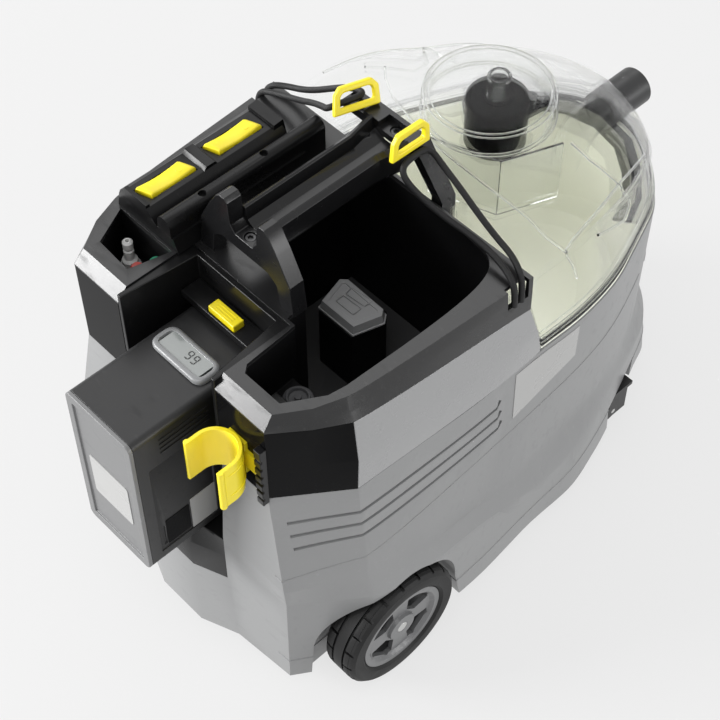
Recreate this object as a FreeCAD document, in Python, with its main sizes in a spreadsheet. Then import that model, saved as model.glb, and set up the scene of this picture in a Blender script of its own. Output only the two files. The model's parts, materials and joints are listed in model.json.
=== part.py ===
import FreeCAD, Part
import math
import os
import re

import Sketcher
from FreeCAD import Placement, Rotation, Vector

# Spot extractor: a battery-powered carpet and upholstery cleaning machine.
# +X points to the clear nose of the machine, +Y to its switch side, +Z up.
# The origin lies on the floor under the middle of the machine. Lengths are in millimetres.

doc = FreeCAD.newDocument("SpotExtractor")
sheet = doc.addObject("Spreadsheet::Sheet", "sizes")

SIZES = [
    # Lower housing
    ("floor_gap", 18.0, "underside of the tub above the floor"),
    ("tub_wall", 4.0, "wall of the tub and of the side panels"),
    ("rim_half", 140.0, "half width of the tub at its parting line"),
    ("skirt_flare", 18.0, "flare of the tub from its parting line to the wheel arches"),
    ("skirt_half", "=rim_half + skirt_flare", "half width of the tub over the wheel arches"),
    ("parting_rear", 262.0, "height of the parting line at the rear face"),
    ("parting_fall", 0.052, "fall of the parting line per millimetre forward"),
    ("column_rear", -225.0, "rear face of the two rear columns"),
    ("groove_wide", 3.4, "width of a side groove"),
    ("groove_deep", 2.2, "depth of a side groove"),
    ("groove_pitch", 14.0, "spacing of the side grooves"),
    ("groove_first", 27.6, "top groove below the parting line"),
    # Running gear
    ("wheel_radius", 57.7, "rear wheel radius"),
    ("wheel_width", 33.0, "rear tyre width"),
    ("wheel_proud", 4.0, "outer face of a rear wheel beyond the skirt"),
    ("wheel_outer", "=skirt_half + wheel_proud", "outer face of a rear wheel from the middle"),
    ("wheel_x", -145.0, "rear axle along the machine"),
    ("wheel_gap", 7.3, "arch clearance round a rear wheel"),
    ("rim_radius", 41.0, "hub radius inside the tyre"),
    ("axle_radius", 5.0, "rear axle radius"),
    ("bore_gap", 0.05, "running clearance of a wheel on its axle"),
    ("tread_cuts", 20, "cross cuts in the tread of a rear tyre"),
    ("caster_x", 172.0, "swivel axis of a caster along the machine"),
    ("caster_inset", 52.0, "swivel axis of a caster inside the skirt"),
    ("caster_y", "=skirt_half - caster_inset", "swivel axis of a caster from the middle"),
    ("caster_radius", 20.0, "caster wheel radius"),
    ("caster_width", 16.0, "caster wheel width"),
    ("caster_trail", 10.0, "caster axle behind its swivel axis"),
    ("caster_sweep", 33.0, "radius of the pocket a caster swivels in"),
    ("pin_radius", 2.5, "caster pin radius"),
    ("stem_radius", 5.0, "caster stem radius"),
    ("fork_plate", 4.5, "thickness of the caster fork's top plate"),
    # Deck, panels and battery bay
    ("deck_top", 352.6, "top face of the deck"),
    ("deck_plate", 4.0, "thickness of the deck's top plate"),
    ("deck_bevel", 10.6, "height of the bevel round the deck"),
    ("skirt_rear", 335.0, "lower edge of the deck at the rear quarter"),
    ("skirt_fall", 0.1, "fall of the deck's lower edge per millimetre forward"),
    ("crease_rear", 293.0, "height of the side panel's crease at the rear"),
    ("crease_fall", 0.06, "fall of the side panel's crease per millimetre forward"),
    ("quarter_x", -172.0, "joint between corner panel and side panel"),
    ("bay_half", 52.5, "half width of the battery bay liner outside"),
    ("bay_front", -156.0, "front face of the battery bay liner"),
    ("bay_wall", 3.5, "wall of the battery bay liner at its rear edge"),
    ("bay_drop", 1.6, "top of the battery bay liner below the deck's top face"),
    ("bay_top", "=deck_top - bay_drop", "top of the battery bay liner"),
    ("bay_floor", 159.7, "floor of the battery bay"),
    ("tray_foot", 104.0, "lower edge of the black bay tray"),
    # Battery
    ("battery_rear", -290.0, "rear face of the battery"),
    ("battery_front", -168.0, "front face of the battery"),
    ("battery_half", 36.0, "half width of the battery"),
    ("battery_top", 314.8, "top of the battery"),
    ("battery_round", 6.0, "edge rounding of the battery"),
    ("seat_gap", 0.3, "clearance under a part that lifts or slides out"),
    ("end_frame", 3.5, "thickness of the battery's end frame"),
    ("display_x", -209.0, "middle of the charge display"),
    ("display_half", 28.0, "half width of the charge display's frame"),
    ("display_deep", 24.0, "length of the charge display's frame"),
    ("bar_lift", 5.2, "underside of the release bar above the battery"),
    ("bar_foot", "=battery_top + bar_lift", "underside of the release bar"),
    ("bar_thick", 7.0, "height of the release bar"),
    ("bar_rear", -178.0, "rear edge of the release bar"),
    ("button_half", 14.0, "half width of the release button"),
    # Storage bin and service well
    ("bin_wall", 2.0, "wall of the storage bin and the service well"),
    ("bin_floor", 197.0, "inside floor of the storage bin"),
    ("mat_thick", 3.0, "thickness of the bin mat"),
    ("bin_shelf", 297.0, "inside floor of the raised rear well"),
    ("bin_rear", -134.0, "rear wall of the storage bin"),
    ("bin_front", -5.0, "front wall of the storage bin"),
    ("bin_left", 48.0, "left wall of the storage bin"),
    ("bin_right", 119.5, "right wall of the storage bin from the middle"),
    ("shelf_front", -160.0, "front edge of the raised rear well"),
    # Water fill
    ("neck_x", -65.0, "fill neck along the machine"),
    ("neck_y", -18.0, "fill neck across the machine"),
    ("neck_radius", 14.0, "fill neck outer radius"),
    ("neck_bore", 11.0, "fill neck inner radius"),
    ("neck_top", 262.0, "top of the fill neck's block"),
    ("neck_block", 37.0, "side of the fill neck's block"),
    ("cap_top", 271.0, "top of the fill cap"),
    ("tank_foot", 24.0, "underside of the fresh water tank"),
    ("tank_top", 104.0, "top of the fresh water tank"),
    ("tank_half", 92.0, "half width of the fresh water tank"),
    ("tank_rear", -34.0, "rear face of the fresh water tank"),
    ("tank_step", 128.0, "place where the fresh water tank narrows"),
    ("tank_nose", 222.0, "front face of the fresh water tank"),
    ("tank_narrow", 66.0, "half width of the fresh water tank at the casters"),
    ("tank_wall", 2.5, "wall of the fresh water tank"),
    # Dirty water tank and clear cover
    ("dirty_foot", 112.0, "underside of the dirty water tank"),
    ("dirty_rear", 23.0, "rear wall of the dirty water tank"),
    ("dirty_wall", 2.5, "wall of the dirty water tank"),
    ("dirty_gap", 1.2, "gap between the dirty water tank and the tub"),
    ("dirty_taper", 11.0, "draft of the dirty water tank over its depth"),
    ("flange_thick", 1.7, "thickness of the dirty water tank's flange"),
    ("seal_thick", 1.7, "thickness of the cover seal"),
    ("cover_wall", 3.0, "wall of the clear cover"),
    ("cover_rear", 3.5, "rear edge of the clear cover beside the handle"),
    ("notch_front", 21.5, "front of the notch in the cover for the handle"),
    ("notch_half", 50.0, "half width of the notch in the cover"),
    ("cover_top", 352.0, "highest level of the cover's roof"),
    ("dome_x", 95.0, "middle of the dome along the machine"),
    ("dome_radius", 52.3, "radius of the dome"),
    ("dome_top", 378.0, "top of the dome"),
    ("float_x", 114.0, "float housing along the machine"),
    ("float_y", 8.0, "float housing across the machine"),
    ("float_radius", 25.0, "float housing outer radius"),
    ("float_foot", 306.0, "underside of the float housing"),
    ("float_top", 352.0, "top of the float housing"),
    ("ball_radius", 14.0, "float ball radius"),
    ("stub_z", 260.0, "axis of the hose stub above the floor"),
    ("stub_front", 283.0, "front face of the hose stub"),
    ("stub_rear", 236.0, "rear face of the hose stub"),
    ("stub_radius", 17.0, "hose stub outer radius"),
    ("stub_bore", 14.0, "hose stub bore radius"),
    # Handle
    ("arch_rear", -150.0, "rear face of the handle's rear arch"),
    ("arch_thick", 13.0, "thickness of the handle's rear arch"),
    ("arch_half", 50.0, "half width of the handle's rear arch at the deck"),
    ("horn_top", 420.0, "top of the rear arch's two horns"),
    ("horn_half", 27.0, "half width of the rear arch at its horns"),
    ("saddle", 391.6, "bottom of the notch between the horns"),
    ("grip_top", 407.0, "rims of the trough in the grip"),
    ("grip_half", 17.0, "half width of the grip"),
    ("grip_deep", 34.0, "depth of the grip's section"),
    ("grip_front", -11.0, "front end of the grip"),
    ("bridge_top", 405.0, "top of the handle's front arch"),
    ("bridge_front", 4.0, "front face of the front arch at its top"),
    ("bridge_half", 26.5, "half width of the front arch's flat top"),
    ("foot_front", 15.0, "front face of the front arch at the deck"),
    ("foot_half", 44.0, "half width of the front arch at the deck"),
    ("screw_radius", 4.5, "head radius of a handle screw"),
    # Console
    ("console_rear", -174.0, "rear end of the console"),
    ("console_front", -47.0, "front end of the switch platform"),
    ("ridge_front", -26.0, "front end of the console's round ridge"),
    ("ridge_y", 59.0, "middle of the round ridge"),
    ("ridge_radius", 7.0, "radius of the round ridge"),
    ("ridge_top", 386.0, "top of the round ridge"),
    ("platform_top", 381.0, "top of the switch platform"),
    ("platform_in", 78.0, "inner edge of the switch platform"),
    ("platform_out", 103.0, "outer edge of the switch platform"),
    ("console_out", 119.0, "outer foot of the console"),
    ("rocker_length", 46.0, "length of a rocker switch"),
    ("rocker_width", 14.0, "width of a rocker switch"),
    ("rocker_y", 90.5, "middle line of the rocker switches"),
    ("rocker_first", -146.0, "middle of the rear rocker switch"),
    ("rocker_second", -83.0, "middle of the front rocker switch"),
    ("rocker_rise", 4.0, "rocker switch above the platform"),
    ("rocker_gap", 0.9, "clearance round a rocker switch"),
    # Clip, hooks and straps
    ("clip_y", 75.0, "middle of the suction tube clip from the middle plane"),
    ("clip_foot", 274.0, "lower end of the clip"),
    ("clip_top", 316.0, "upper end of the clip"),
    ("clip_bore", 16.0, "inner radius of the clip"),
    ("clip_wall", 3.0, "wall of the clip"),
    ("clip_jaw", 10.0, "length of the clip's straight jaws"),
    ("clip_pad", 3.0, "pad between the clip and the rear panel"),
    ("hook_wire", 5.0, "thickness of a strap hook"),
    ("strap_radius", 2.5, "radius of a strap strand"),
    # Suction turbine, pump and electronics
    ("fan_x", -92.0, "turbine axis along the machine"),
    ("fan_y", 55.0, "turbine axis across the machine"),
    ("fan_radius", 44.0, "impeller radius"),
    ("fan_foot", 118.0, "underside of the impeller's back plate"),
    ("fan_plate", 2.0, "thickness of the impeller's back plate"),
    ("fan_height", 16.0, "height of the impeller's blades"),
    ("blade_count", 9, "blades of the impeller"),
    ("scroll_wall", 2.5, "wall of the turbine housing"),
    ("scroll_gap", 3.0, "clearance round the impeller"),
    ("shaft_radius", 4.0, "motor shaft radius"),
    ("motor_radius", 32.0, "turbine motor radius"),
    ("shaft_length", 54.0, "motor shaft below the impeller"),
    ("eye_radius", 22.0, "inlet eye of the turbine"),
    ("duct_top", 184.0, "top of the duct over the turbine"),
    ("duct_half", 24.0, "half width of the flat riser of the duct"),
    ("port_low", 214.0, "lower edge of the air port in the dirty water tank"),
    ("port_high", 232.0, "upper edge of the air port in the dirty water tank"),
    ("pump_x", -190.0, "pump along the machine"),
    ("pump_inset", 76.0, "pump axis inside the outer face of the rear wheel"),
    ("pump_y", "=wheel_outer - pump_inset", "pump across the machine"),
    ("pump_radius", 17.0, "pump radius"),
    ("pump_height", 120.0, "pump height"),
    ("coupling_x", -184.0, "spray hose coupling along the machine"),
    ("coupling_y", 93.5, "spray hose coupling across the machine"),
    ("feed_radius", 4.0, "radius of the feed pipe below the coupling"),
]


def fill_sheet():
    """Write every driving size into the sheet, one row each."""
    for row, (alias, value, note) in enumerate(SIZES, start=1):
        sheet.set("A%d" % row, alias)
        sheet.set("B%d" % row, str(value))
        sheet.set("C%d" % row, note)
        sheet.setAlias("B%d" % row, alias)
    doc.recompute()


fill_sheet()
ALIASES = {alias for alias, _, _ in SIZES}
ALONG_X = (Vector(0, 1, 0), 90)
ALONG_Y = (Vector(1, 0, 0), -90)


def size(alias):
    """Read one driving size from the sheet."""
    return float(sheet.get(alias))


def on_sheet(text):
    """Point every size name in an expression at the sheet."""
    def reference(found):
        word = found.group(0)
        return "sizes." + word if word in ALIASES else word
    return re.sub(r"[a-z][a-z0-9_]*", reference, text)


def bind(piece, measures):
    """Tie properties of a piece to expressions on the sheet."""
    for name, text in measures.items():
        piece.setExpression(name, on_sheet(text))


def place(piece, at, turned=None):
    """Turn a piece and tie its place to expressions on the sheet."""
    if turned:
        piece.Placement = Placement(Vector(), Rotation(*turned))
    bind(piece, {"Placement.Base." + axis: text for axis, text in zip("xyz", at)})
    return piece


def box(name, low, lengths):
    """Add a bound box by its lowest corner and its three lengths."""
    piece = doc.addObject("Part::Box", name)
    bind(piece, dict(zip(("Length", "Width", "Height"), lengths)))
    return place(piece, low)


def rod(name, at, radius, height, turned=None):
    """Add a bound cylinder that starts at a point and runs up, or along X or Y."""
    piece = doc.addObject("Part::Cylinder", name)
    bind(piece, {"Radius": radius, "Height": height})
    return place(piece, at, turned)


def join(name, *pieces):
    """Fuse several objects into one."""
    piece = doc.addObject("Part::MultiFuse", name)
    piece.Shapes = list(pieces)
    return piece


def cut(name, base, *tools):
    """Cut one or more objects out of another."""
    piece = doc.addObject("Part::Cut", name)
    piece.Base = base
    piece.Tool = tools[0] if len(tools) == 1 else join(name + "_tools", *tools)
    return piece


def feature(name, shape):
    """Add a piece whose form no bound primitive gives."""
    piece = doc.addObject("Part::Feature", name)
    piece.Shape = shape
    return piece


def sketch_outline(body, name, plane, points):
    """Draw a closed outline whose corners follow expressions on the sheet."""
    sketch = body.newObject("Sketcher::SketchObject", name)
    support = [item for item in body.Origin.OriginFeatures if item.Role == plane][0]
    sketch.AttachmentSupport = (support, [""])
    sketch.MapMode = "FlatFace"
    count = len(points)
    start = [Vector(math.cos(math.tau * i / count), math.sin(math.tau * i / count), 0) for i in range(count)]
    for index in range(count):
        sketch.addGeometry(Part.LineSegment(start[index], start[(index + 1) % count]), False)
    for index in range(count):
        sketch.addConstraint(Sketcher.Constraint("Coincident", index, 2, (index + 1) % count, 1))
    for index, point in enumerate(points):
        here = (start[index].x, start[index].y)
        for kind, text, value in zip(("DistanceX", "DistanceY"), point, here):
            number = sketch.addConstraint(Sketcher.Constraint(kind, -1, 1, index, 1, value))
            sketch.setExpression("Constraints[%d]" % number, on_sheet(text))
    return sketch


def turned_body(name, points, at=("0", "0", "0"), turned=None):
    """Add a body revolved about its own Z axis from radius and height pairs."""
    body = doc.addObject("PartDesign::Body", name)
    sketch = sketch_outline(body, name + "_profile", "XZ_Plane", points)
    turn = body.newObject("PartDesign::Revolution", name + "_turn")
    turn.Profile = sketch
    turn.ReferenceAxis = (sketch, ["V_Axis"])
    turn.Angle = 360.0
    body.Tip = turn
    return place(body, at, turned)


# Rings and lofts: a ring is a closed plan outline, corner by corner, anticlockwise from above

def parting(x):
    """Height of the parting line, which falls towards the nose."""
    return size("parting_rear") - size("parting_fall") * (x + 224)


def deck_foot(x):
    """Height of the deck's lower edge."""
    return size("skirt_rear") - size("skirt_fall") * (x - size("quarter_x"))


def panel_crease(x):
    """Height of the crease along the side panel."""
    return size("crease_rear") - size("crease_fall") * (x - size("quarter_x"))


def level(height):
    """A level plane as a height function."""
    return lambda x: height


def ring(rows, height=None):
    """Mirror half an outline, given from the rear to the nose, into a closed ring."""
    rows = [row if len(row) == 3 else (row[0], row[1], 0.0) for row in rows]
    right = [Vector(x, -half, z) for x, half, z in rows]
    left = [Vector(x, half, z) for x, half, z in reversed(rows) if half > 0]
    return on_level(right + left, height) if height else right + left


def on_level(corners, height):
    """Set the height of every corner by a height function."""
    return [Vector(corner.x, corner.y, height(corner.x)) for corner in corners]


def inward(start, finish):
    """Level unit vector to the left of a run, which is inwards on a ring."""
    return Vector(start.y - finish.y, finish.x - start.x, 0).normalize()


def inset(corners, amount):
    """Move each side of a ring inwards, keeping the number of corners."""
    moved = []
    for index, corner in enumerate(corners):
        before = inward(corners[index - 1], corner)
        after = inward(corner, corners[(index + 1) % len(corners)])
        middle = (before + after).normalize()
        moved.append(corner + middle * (amount / middle.dot(before)))
    return moved


def smooth_edge(points):
    """Smooth curve through points, with one parameter step from point to point."""
    curve = Part.BSplineCurve()
    curve.interpolate(Points=points, Parameters=[float(number) for number in range(len(points))])
    return curve.toShape()


def ring_wire(corners, bends):
    """Closed wire over a ring: straight sides, and a smooth curve over each run of corners in bends."""
    ends = dict(bends)
    edges = []
    index = 0
    while index < len(corners):
        last = ends.get(index, index + 1)
        run = [corners[number % len(corners)] for number in range(index, last + 1)]
        edges.append(smooth_edge(run) if len(run) > 2 else Part.LineSegment(*run).toShape())
        index = last
    return Part.Wire(edges)


def loft(*rings, bends=()):
    """Ruled solid through rings with the same number of corners."""
    return Part.makeLoft([ring_wire(corners, bends) for corners in rings], True, True)


def column(corners, low, high, bends=()):
    """Upright prism over a plan ring between two heights."""
    return loft(on_level(corners, level(low)), on_level(corners, level(high)), bends=bends)


def block(low, high):
    """Box between two corners."""
    low = Vector(*low)
    span = Vector(*high) - low
    return Part.makeBox(span.x, span.y, span.z, low)


def side_prism(outline, low, high):
    """Prism over an outline of X and Z pairs, between two places across the machine."""
    face = Part.Face(Part.makePolygon([Vector(x, low, z) for x, z in outline + outline[:1]]))
    return face.extrude(Vector(0, high - low, 0))


def front_prism(outline, low, high):
    """Prism over an outline of Y and Z pairs, between two places along the machine."""
    face = Part.Face(Part.makePolygon([Vector(low, y, z) for y, z in outline + outline[:1]]))
    return face.extrude(Vector(high - low, 0, 0))


def mirrored(shape):
    """The same shape on the other side of the middle plane."""
    return shape.mirror(Vector(), Vector(0, 1, 0))


def both_sides(shape):
    """A shape and its mirror image."""
    return [shape, mirrored(shape)]


def sector(radius, low, high, x, y):
    """Upright cylinder between two heights."""
    return Part.makeCylinder(radius, high - low, Vector(x, y, low))


# Outlines of the lower housing: place along the machine and half width, with a height where it varies.
# Half widths at the rim and the skirt are counted inwards from the widest half width of that level.

def rim_rows():
    half = size("rim_half")
    rear = size("column_rear")
    quarter = size("quarter_x")
    return [(rear, 24), (rear, 57), (rear, half - 38), (-198, half - 19.7), (quarter, half - 2),
            (-145, half - 1.5), (-100, half - 0.5), (-45, half), (17, half - 3), (62, half - 3.5),
            (109, half - 10), (143, half - 21), (183, half - 37), (206, half - 49), (232, half - 74),
            (256, half - 105), (264, 0)]


def crease_rows():
    half = size("skirt_half")
    return [(-236, 24, 164), (-232, 57, 164), (-232, half - 37, 164), (-201, half - 24, 157),
            (size("quarter_x"), half - 11, 150), (-145, half - 9, 143), (-100, half - 10, 126),
            (-42, half - 15, 110), (20, half - 19, 100), (70, half - 26, 97), (102, half - 31, 97),
            (144, half - 40.5, 96), (184, half - 56, 95), (214, half - 73, 95), (234, half - 92, 95),
            (248, half - 112, 95), (256, 0, 95)]


def skirt_rows():
    half = size("skirt_half")
    return [(-244, 24, 136), (-231, 57, 136), (-228, half - 40, 136), (-199, half - 22.5, 132),
            (size("quarter_x"), half - 5, 128), (-145, half, 121), (-100, half - 1, 112),
            (-42, half - 6, 97), (24, half - 10, 76), (70, half - 15, 75), (106, half - 23, 75),
            (144, half - 35.5, 75), (184, half - 50, 75), (214, half - 62, 75), (236, half - 78, 75),
            (258, half - 108, 75), (268, 0, 75)]


def foot_rows():
    half = size("skirt_half")
    return [(-244, 24), (-231, 57), (-226, half - 44), (-198, half - 26), (size("quarter_x"), half - 10),
            (-145, half - 7), (-100, half - 5), (-42, half - 5), (20, half - 11), (70, half - 12),
            (106, half - 20), (140, half - 31), (185, half - 50), (220, half - 65), (243, half - 76),
            (262, half - 108), (270, 0)]


NOSE_BEND = ((4, 28),)
SIDE_BENDS = ((3, 7), (8, 12))
RIM = ring(rim_rows(), parting)
CREASE = ring(crease_rows())
SKIRT = ring(skirt_rows())
FOOT = ring(foot_rows(), level(size("floor_gap")))


def tub_solid(depth, floor=0.0, above=0.0):
    """The tub's outer form, set in by a depth from its walls and its floor."""
    foot = on_level(inset(FOOT, depth), level(size("floor_gap") + floor))
    rim = on_level(inset(RIM, depth), parting)
    rings = [foot, inset(SKIRT, depth), inset(CREASE, depth), rim]
    if above:
        rings.append([corner + Vector(0, 0, above) for corner in rim])
    return loft(*rings, bends=NOSE_BEND)


TUB_OUTER = tub_solid(0.0)


def wheel_pocket(grow):
    """Arch over a rear wheel, open below, as a prism across the machine."""
    reach = size("wheel_radius") + size("wheel_gap") + grow
    x = size("wheel_x")
    z = size("wheel_radius")
    low = size("floor_gap") - 1
    rear = Vector(x - reach, 0, z)
    front = Vector(x + reach, 0, z)
    arch = Part.Arc(rear, Vector(x, 0, z + reach), front).toShape()
    rest = Part.makePolygon([front, Vector(x + reach + 8, 0, low), Vector(x - reach - 1, 0, low), rear])
    face = Part.Face(Part.Wire([arch] + rest.Edges))
    inner = size("wheel_outer") - size("wheel_width") - 11 - grow
    prism = face.extrude(Vector(0, 60, 0))
    prism.translate(Vector(0, inner, 0))
    return prism


def caster_pocket(grow):
    """Round pocket in which a caster swivels, with its roof."""
    roof = 2 * size("caster_radius") + size("fork_plate") + 1.5
    return sector(size("caster_sweep") + grow, size("floor_gap") - 1, roof + grow,
                  size("caster_x"), size("caster_y"))


def caster_boss():
    """Socket for a caster stem over its pocket."""
    roof = 2 * size("caster_radius") + size("fork_plate") + 1.5
    return sector(size("stem_radius") + 4, roof, roof + 24, size("caster_x"), size("caster_y"))


def caster_socket():
    """Bore of the caster boss."""
    roof = 2 * size("caster_radius") + size("fork_plate") + 1.5
    return sector(size("stem_radius"), roof - 6, roof + 22, size("caster_x"), size("caster_y"))


def side_grooves():
    """Three grooves along the side, parallel to the parting line, with upturned front ends."""
    skin = tub_solid(size("groove_deep"))
    half = size("groove_wide") / 2
    rear = -218
    front = -30
    bands = []
    for number in range(3):
        drop = size("groove_first") + number * size("groove_pitch")
        tip = front + 1.5 * number
        line = [(rear, parting(rear) - drop), (tip, parting(tip) - drop), (tip + 5, parting(tip) - drop + 7)]
        under = [(x, z - half) for x, z in line]
        over = [(x, z + half) for x, z in reversed(line)]
        over[0] = (tip + 1.6, over[0][1])
        bands.append(side_prism(under + over, 96, 170))
    return [shape for band in bands for shape in both_sides(band.cut(skin))]


def make_tub():
    """Grey lower tub with wheel arches, caster pockets, side grooves and the opening of the bay."""
    wall = size("tub_wall")
    hollow = tub_solid(wall, wall, 8.0)
    houses = both_sides(wheel_pocket(wall)) + both_sides(caster_pocket(3.0)) + both_sides(caster_boss())
    shell = TUB_OUTER.cut(hollow).fuse([house.common(TUB_OUTER) for house in houses])
    half = size("bay_half")
    bay = block((-300, -half, size("tray_foot")), (size("bay_front"), half, 300))
    axle = Part.makeCylinder(size("axle_radius"), 320, Vector(size("wheel_x"), -160, size("wheel_radius")), Vector(0, 1, 0))
    pockets = both_sides(wheel_pocket(0.0)) + both_sides(caster_pocket(0.0)) + both_sides(caster_socket())
    return shell.cut(pockets + side_grooves() + [bay, axle])


tub_shell = feature("tub_shell", make_tub())


def make_bay_tray():
    """Black tray under the battery, which carries on the bulge of the tub's rear."""
    half = size("bay_half")
    front = size("bay_front")
    outer = block((-300, -half, size("tray_foot")), (front, half, size("bay_floor"))).common(TUB_OUTER)
    wall = size("tub_wall")
    hollow = block((-228, wall - half, size("tray_foot") - 1), (front - wall, half - wall, size("bay_floor") - wall))
    return outer.cut(hollow)


bay_tray = feature("bay_tray", make_bay_tray())


def make_battery_bay():
    """Liner of the battery bay: two walls that close in towards the back wall, with guide ribs."""
    half = size("bay_half")
    wall = size("bay_wall")
    rear = size("column_rear")
    front = size("bay_front")
    low = size("bay_floor")
    high = size("bay_top")
    back = front - size("tub_wall")
    outer = block((rear, -half, low), (front, half, high))
    narrow = half - wall - 7
    mouth = [Vector(rear - 1, wall - half, 0), Vector(back, -narrow, 0), Vector(back, narrow, 0), Vector(rear - 1, half - wall, 0)]
    liner = outer.cut(column(mouth, low - 1, high + 1))
    guide = block((-212, size("battery_half") + 0.5, 196), (back, half - 1, 202))
    return liner.fuse([rib.common(outer) for rib in both_sides(guide)])


battery_bay = feature("battery_bay", make_battery_bay())


# Side panels, corner panels and deck share one outline between the parting line and the deck

def panel_rings():
    """Rings at the parting line, the crease and the deck's lower edge."""
    half = size("rim_half")
    rear = size("column_rear")
    quarter = size("quarter_x")
    foot = [(x, width) for x, width in rim_rows()[1:9]]
    crease = [(rear, 57), (rear, half - 37.5), (-198, half - 19.2), (quarter, half - 1.2), (-145, half),
              (-100, half + 1), (-45, half + 1.5), (22, half)]
    head = [(rear, 57), (rear, half - 37), (-198, half - 19), (quarter, half - 6), (-145, half - 4.2),
            (-100, half - 2.8), (-45, half - 2), (22, half - 0.8)]
    return ring(foot, parting), ring(crease, panel_crease), ring(head, deck_foot)


def panel_shell():
    """Closed band of panel wall round the upper housing."""
    foot, crease, head = panel_rings()
    wall = size("tub_wall")
    inner_foot = [corner - Vector(0, 0, 1) for corner in on_level(inset(foot, wall), parting)]
    inner_crease = on_level(inset(crease, wall), panel_crease)
    inner_head = [corner + Vector(0, 0, 1) for corner in on_level(inset(head, wall), deck_foot)]
    outer = loft(foot, crease, head, bends=SIDE_BENDS)
    return outer.cut(loft(inner_foot, inner_crease, inner_head, bends=SIDE_BENDS))


def front_slant(shift):
    """Space in front of the side panels' slanted front edge."""
    low = parting(20) - 20
    return side_prism([(shift - 2, 400), (shift - 2, deck_foot(-2)), (shift + 19, parting(19)), (shift + 19, low),
                       (80, low), (80, 400)], -200, 200)


def make_panels():
    """Gloss corner panels and grey side panels, right ones first."""
    shell = panel_shell()
    quarter = size("quarter_x")
    half = size("bay_half")
    bay = block((-300, -half, 200), (size("bay_front"), half, 400))
    corner = shell.common(block((-300, -200, 200), (quarter, 0, 400))).cut(bay)
    side = shell.common(block((quarter, -200, 200), (60, 0, 400))).cut(front_slant(0.0))
    return corner, side


corner_shape, side_shape = make_panels()
corner_panel_right = feature("corner_panel_right", corner_shape)
corner_panel_left = feature("corner_panel_left", mirrored(corner_shape))
side_panel_right = feature("side_panel_right", side_shape)
side_panel_left = feature("side_panel_left", mirrored(side_shape))


def bin_ring(grow=0.0):
    """Plan outline of the storage bin, inside its walls, grown outwards by a wall."""
    right = size("bin_right")
    left = size("bin_left")
    rear = size("bin_rear")
    front = size("bin_front")
    aft = size("bay_front") + 0.5 + size("bin_wall")
    beside = -size("bay_half") - 0.5 - size("bin_wall")
    corners = [(rear, left), (rear, -44), (aft, -47), (aft, beside), (-200, beside - 3), (-206, beside - 8),
               (-206, 21.5 - right), (-178, 4.5 - right), (-163, 2 - right), (-77, -right), (-26, 5.5 - right),
               (front - 4, 24.5 - right), (front, 59.5 - right), (front, left)]
    return inset([Vector(x, y, 0) for x, y in corners], -grow)


BIN_BEND = ((8, 12),)


def well_ring(grow=0.0):
    """Plan outline of the left service well, inside its walls."""
    corners = [(-172, 114), (-203.5, 98.6), (-205.5, 64.7), (-172, 56)]
    return inset([Vector(x, y, 0) for x, y in corners], -grow)


def deck_rings(depth=0.0):
    """Rings at the deck's lower edge, the foot of its bevel and its top face."""
    half = size("rim_half")
    rear = size("column_rear")
    quarter = size("quarter_x")
    foot = [(rear, 53), (rear, half - 37), (-198, half - 19), (quarter, half - 6), (-145, half - 4.2),
            (-100, half - 2.8), (-45, half - 2), (-2, half - 1)]
    middle = [(rear, 53), (rear, half - 37), (-197, half - 21), (quarter, half - 10), (-145, half - 8),
              (-100, half - 5.5), (-45, half - 3.5), (-2, half - 1.5)]
    top = [(rear + 9, 53), (rear + 9, half - 38.4), (-193, half - 23.5), (quarter + 2, half - 15.5),
           (-145, half - 12), (-100, half - 8.5), (-45, half - 5), (-2, half - 2)]
    bevel = level(size("deck_top") - size("deck_bevel"))
    return [on_level(inset(ring(foot), depth), deck_foot), on_level(inset(ring(middle), depth), bevel),
            on_level(inset(ring(top), depth), level(size("deck_top")))]


def make_deck():
    """Black deck with its bevelled rim, openings for bin, well and bay, and slots for the straps."""
    top = size("deck_top")
    wall = size("tub_wall")
    foot, middle, head = deck_rings(wall)
    below = [corner - Vector(0, 0, 2) for corner in foot]
    under = on_level(head, level(top - size("deck_plate")))
    hollow = loft(below, middle, under, bends=SIDE_BENDS)
    side = size("rim_half") - 1 - wall
    front = block((-3 - wall, -side, 300), (10, side, top - size("deck_plate")))
    half = size("bay_half")
    bay = block((-300, -half, 300), (size("bay_front"), half, 400))
    slots = both_sides(block((-26, size("rim_half") - 8, top - 18), (-6, 170, top + 5)))
    openings = [column(bin_ring(), top - 20, top + 5, BIN_BEND), column(well_ring(), top - 20, top + 5)]
    return loft(*deck_rings(), bends=SIDE_BENDS).cut([hollow, front, bay] + slots + openings)


deck_frame = feature("deck_frame", make_deck())


def make_bin():
    """Storage bin with its deep floor and the raised well behind it on the right."""
    wall = size("bin_wall")
    top = size("deck_top") - size("deck_plate")
    edge = size("shelf_front")
    floor = size("bin_floor")
    shelf = size("bin_shelf")
    deep = column(bin_ring(wall), floor - 2 * wall, top, BIN_BEND)
    under_shelf = block((-300, -200, 0), (edge, 200, shelf - wall))
    inner = column(bin_ring(), floor, top + 1, BIN_BEND)
    over_floor = inner.cut(block((-300, -200, 0), (edge + wall, 200, shelf)))
    neck = sector(size("neck_radius"), 150, 220, size("neck_x"), size("neck_y"))
    return deep.cut([under_shelf, over_floor, neck])


storage_bin = feature("storage_bin", make_bin())


def make_mat():
    """Grey mat on the floor of the storage bin."""
    floor = size("bin_floor")
    mat = column(bin_ring(-0.3), floor, floor + size("mat_thick"), BIN_BEND)
    behind = block((-300, -200, 0), (size("shelf_front") + size("bin_wall") + 0.3, 200, 400))
    neck = sector(size("neck_radius"), 150, 220, size("neck_x"), size("neck_y"))
    return mat.cut([behind, neck])


bin_mat = feature("bin_mat", make_mat())


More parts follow.
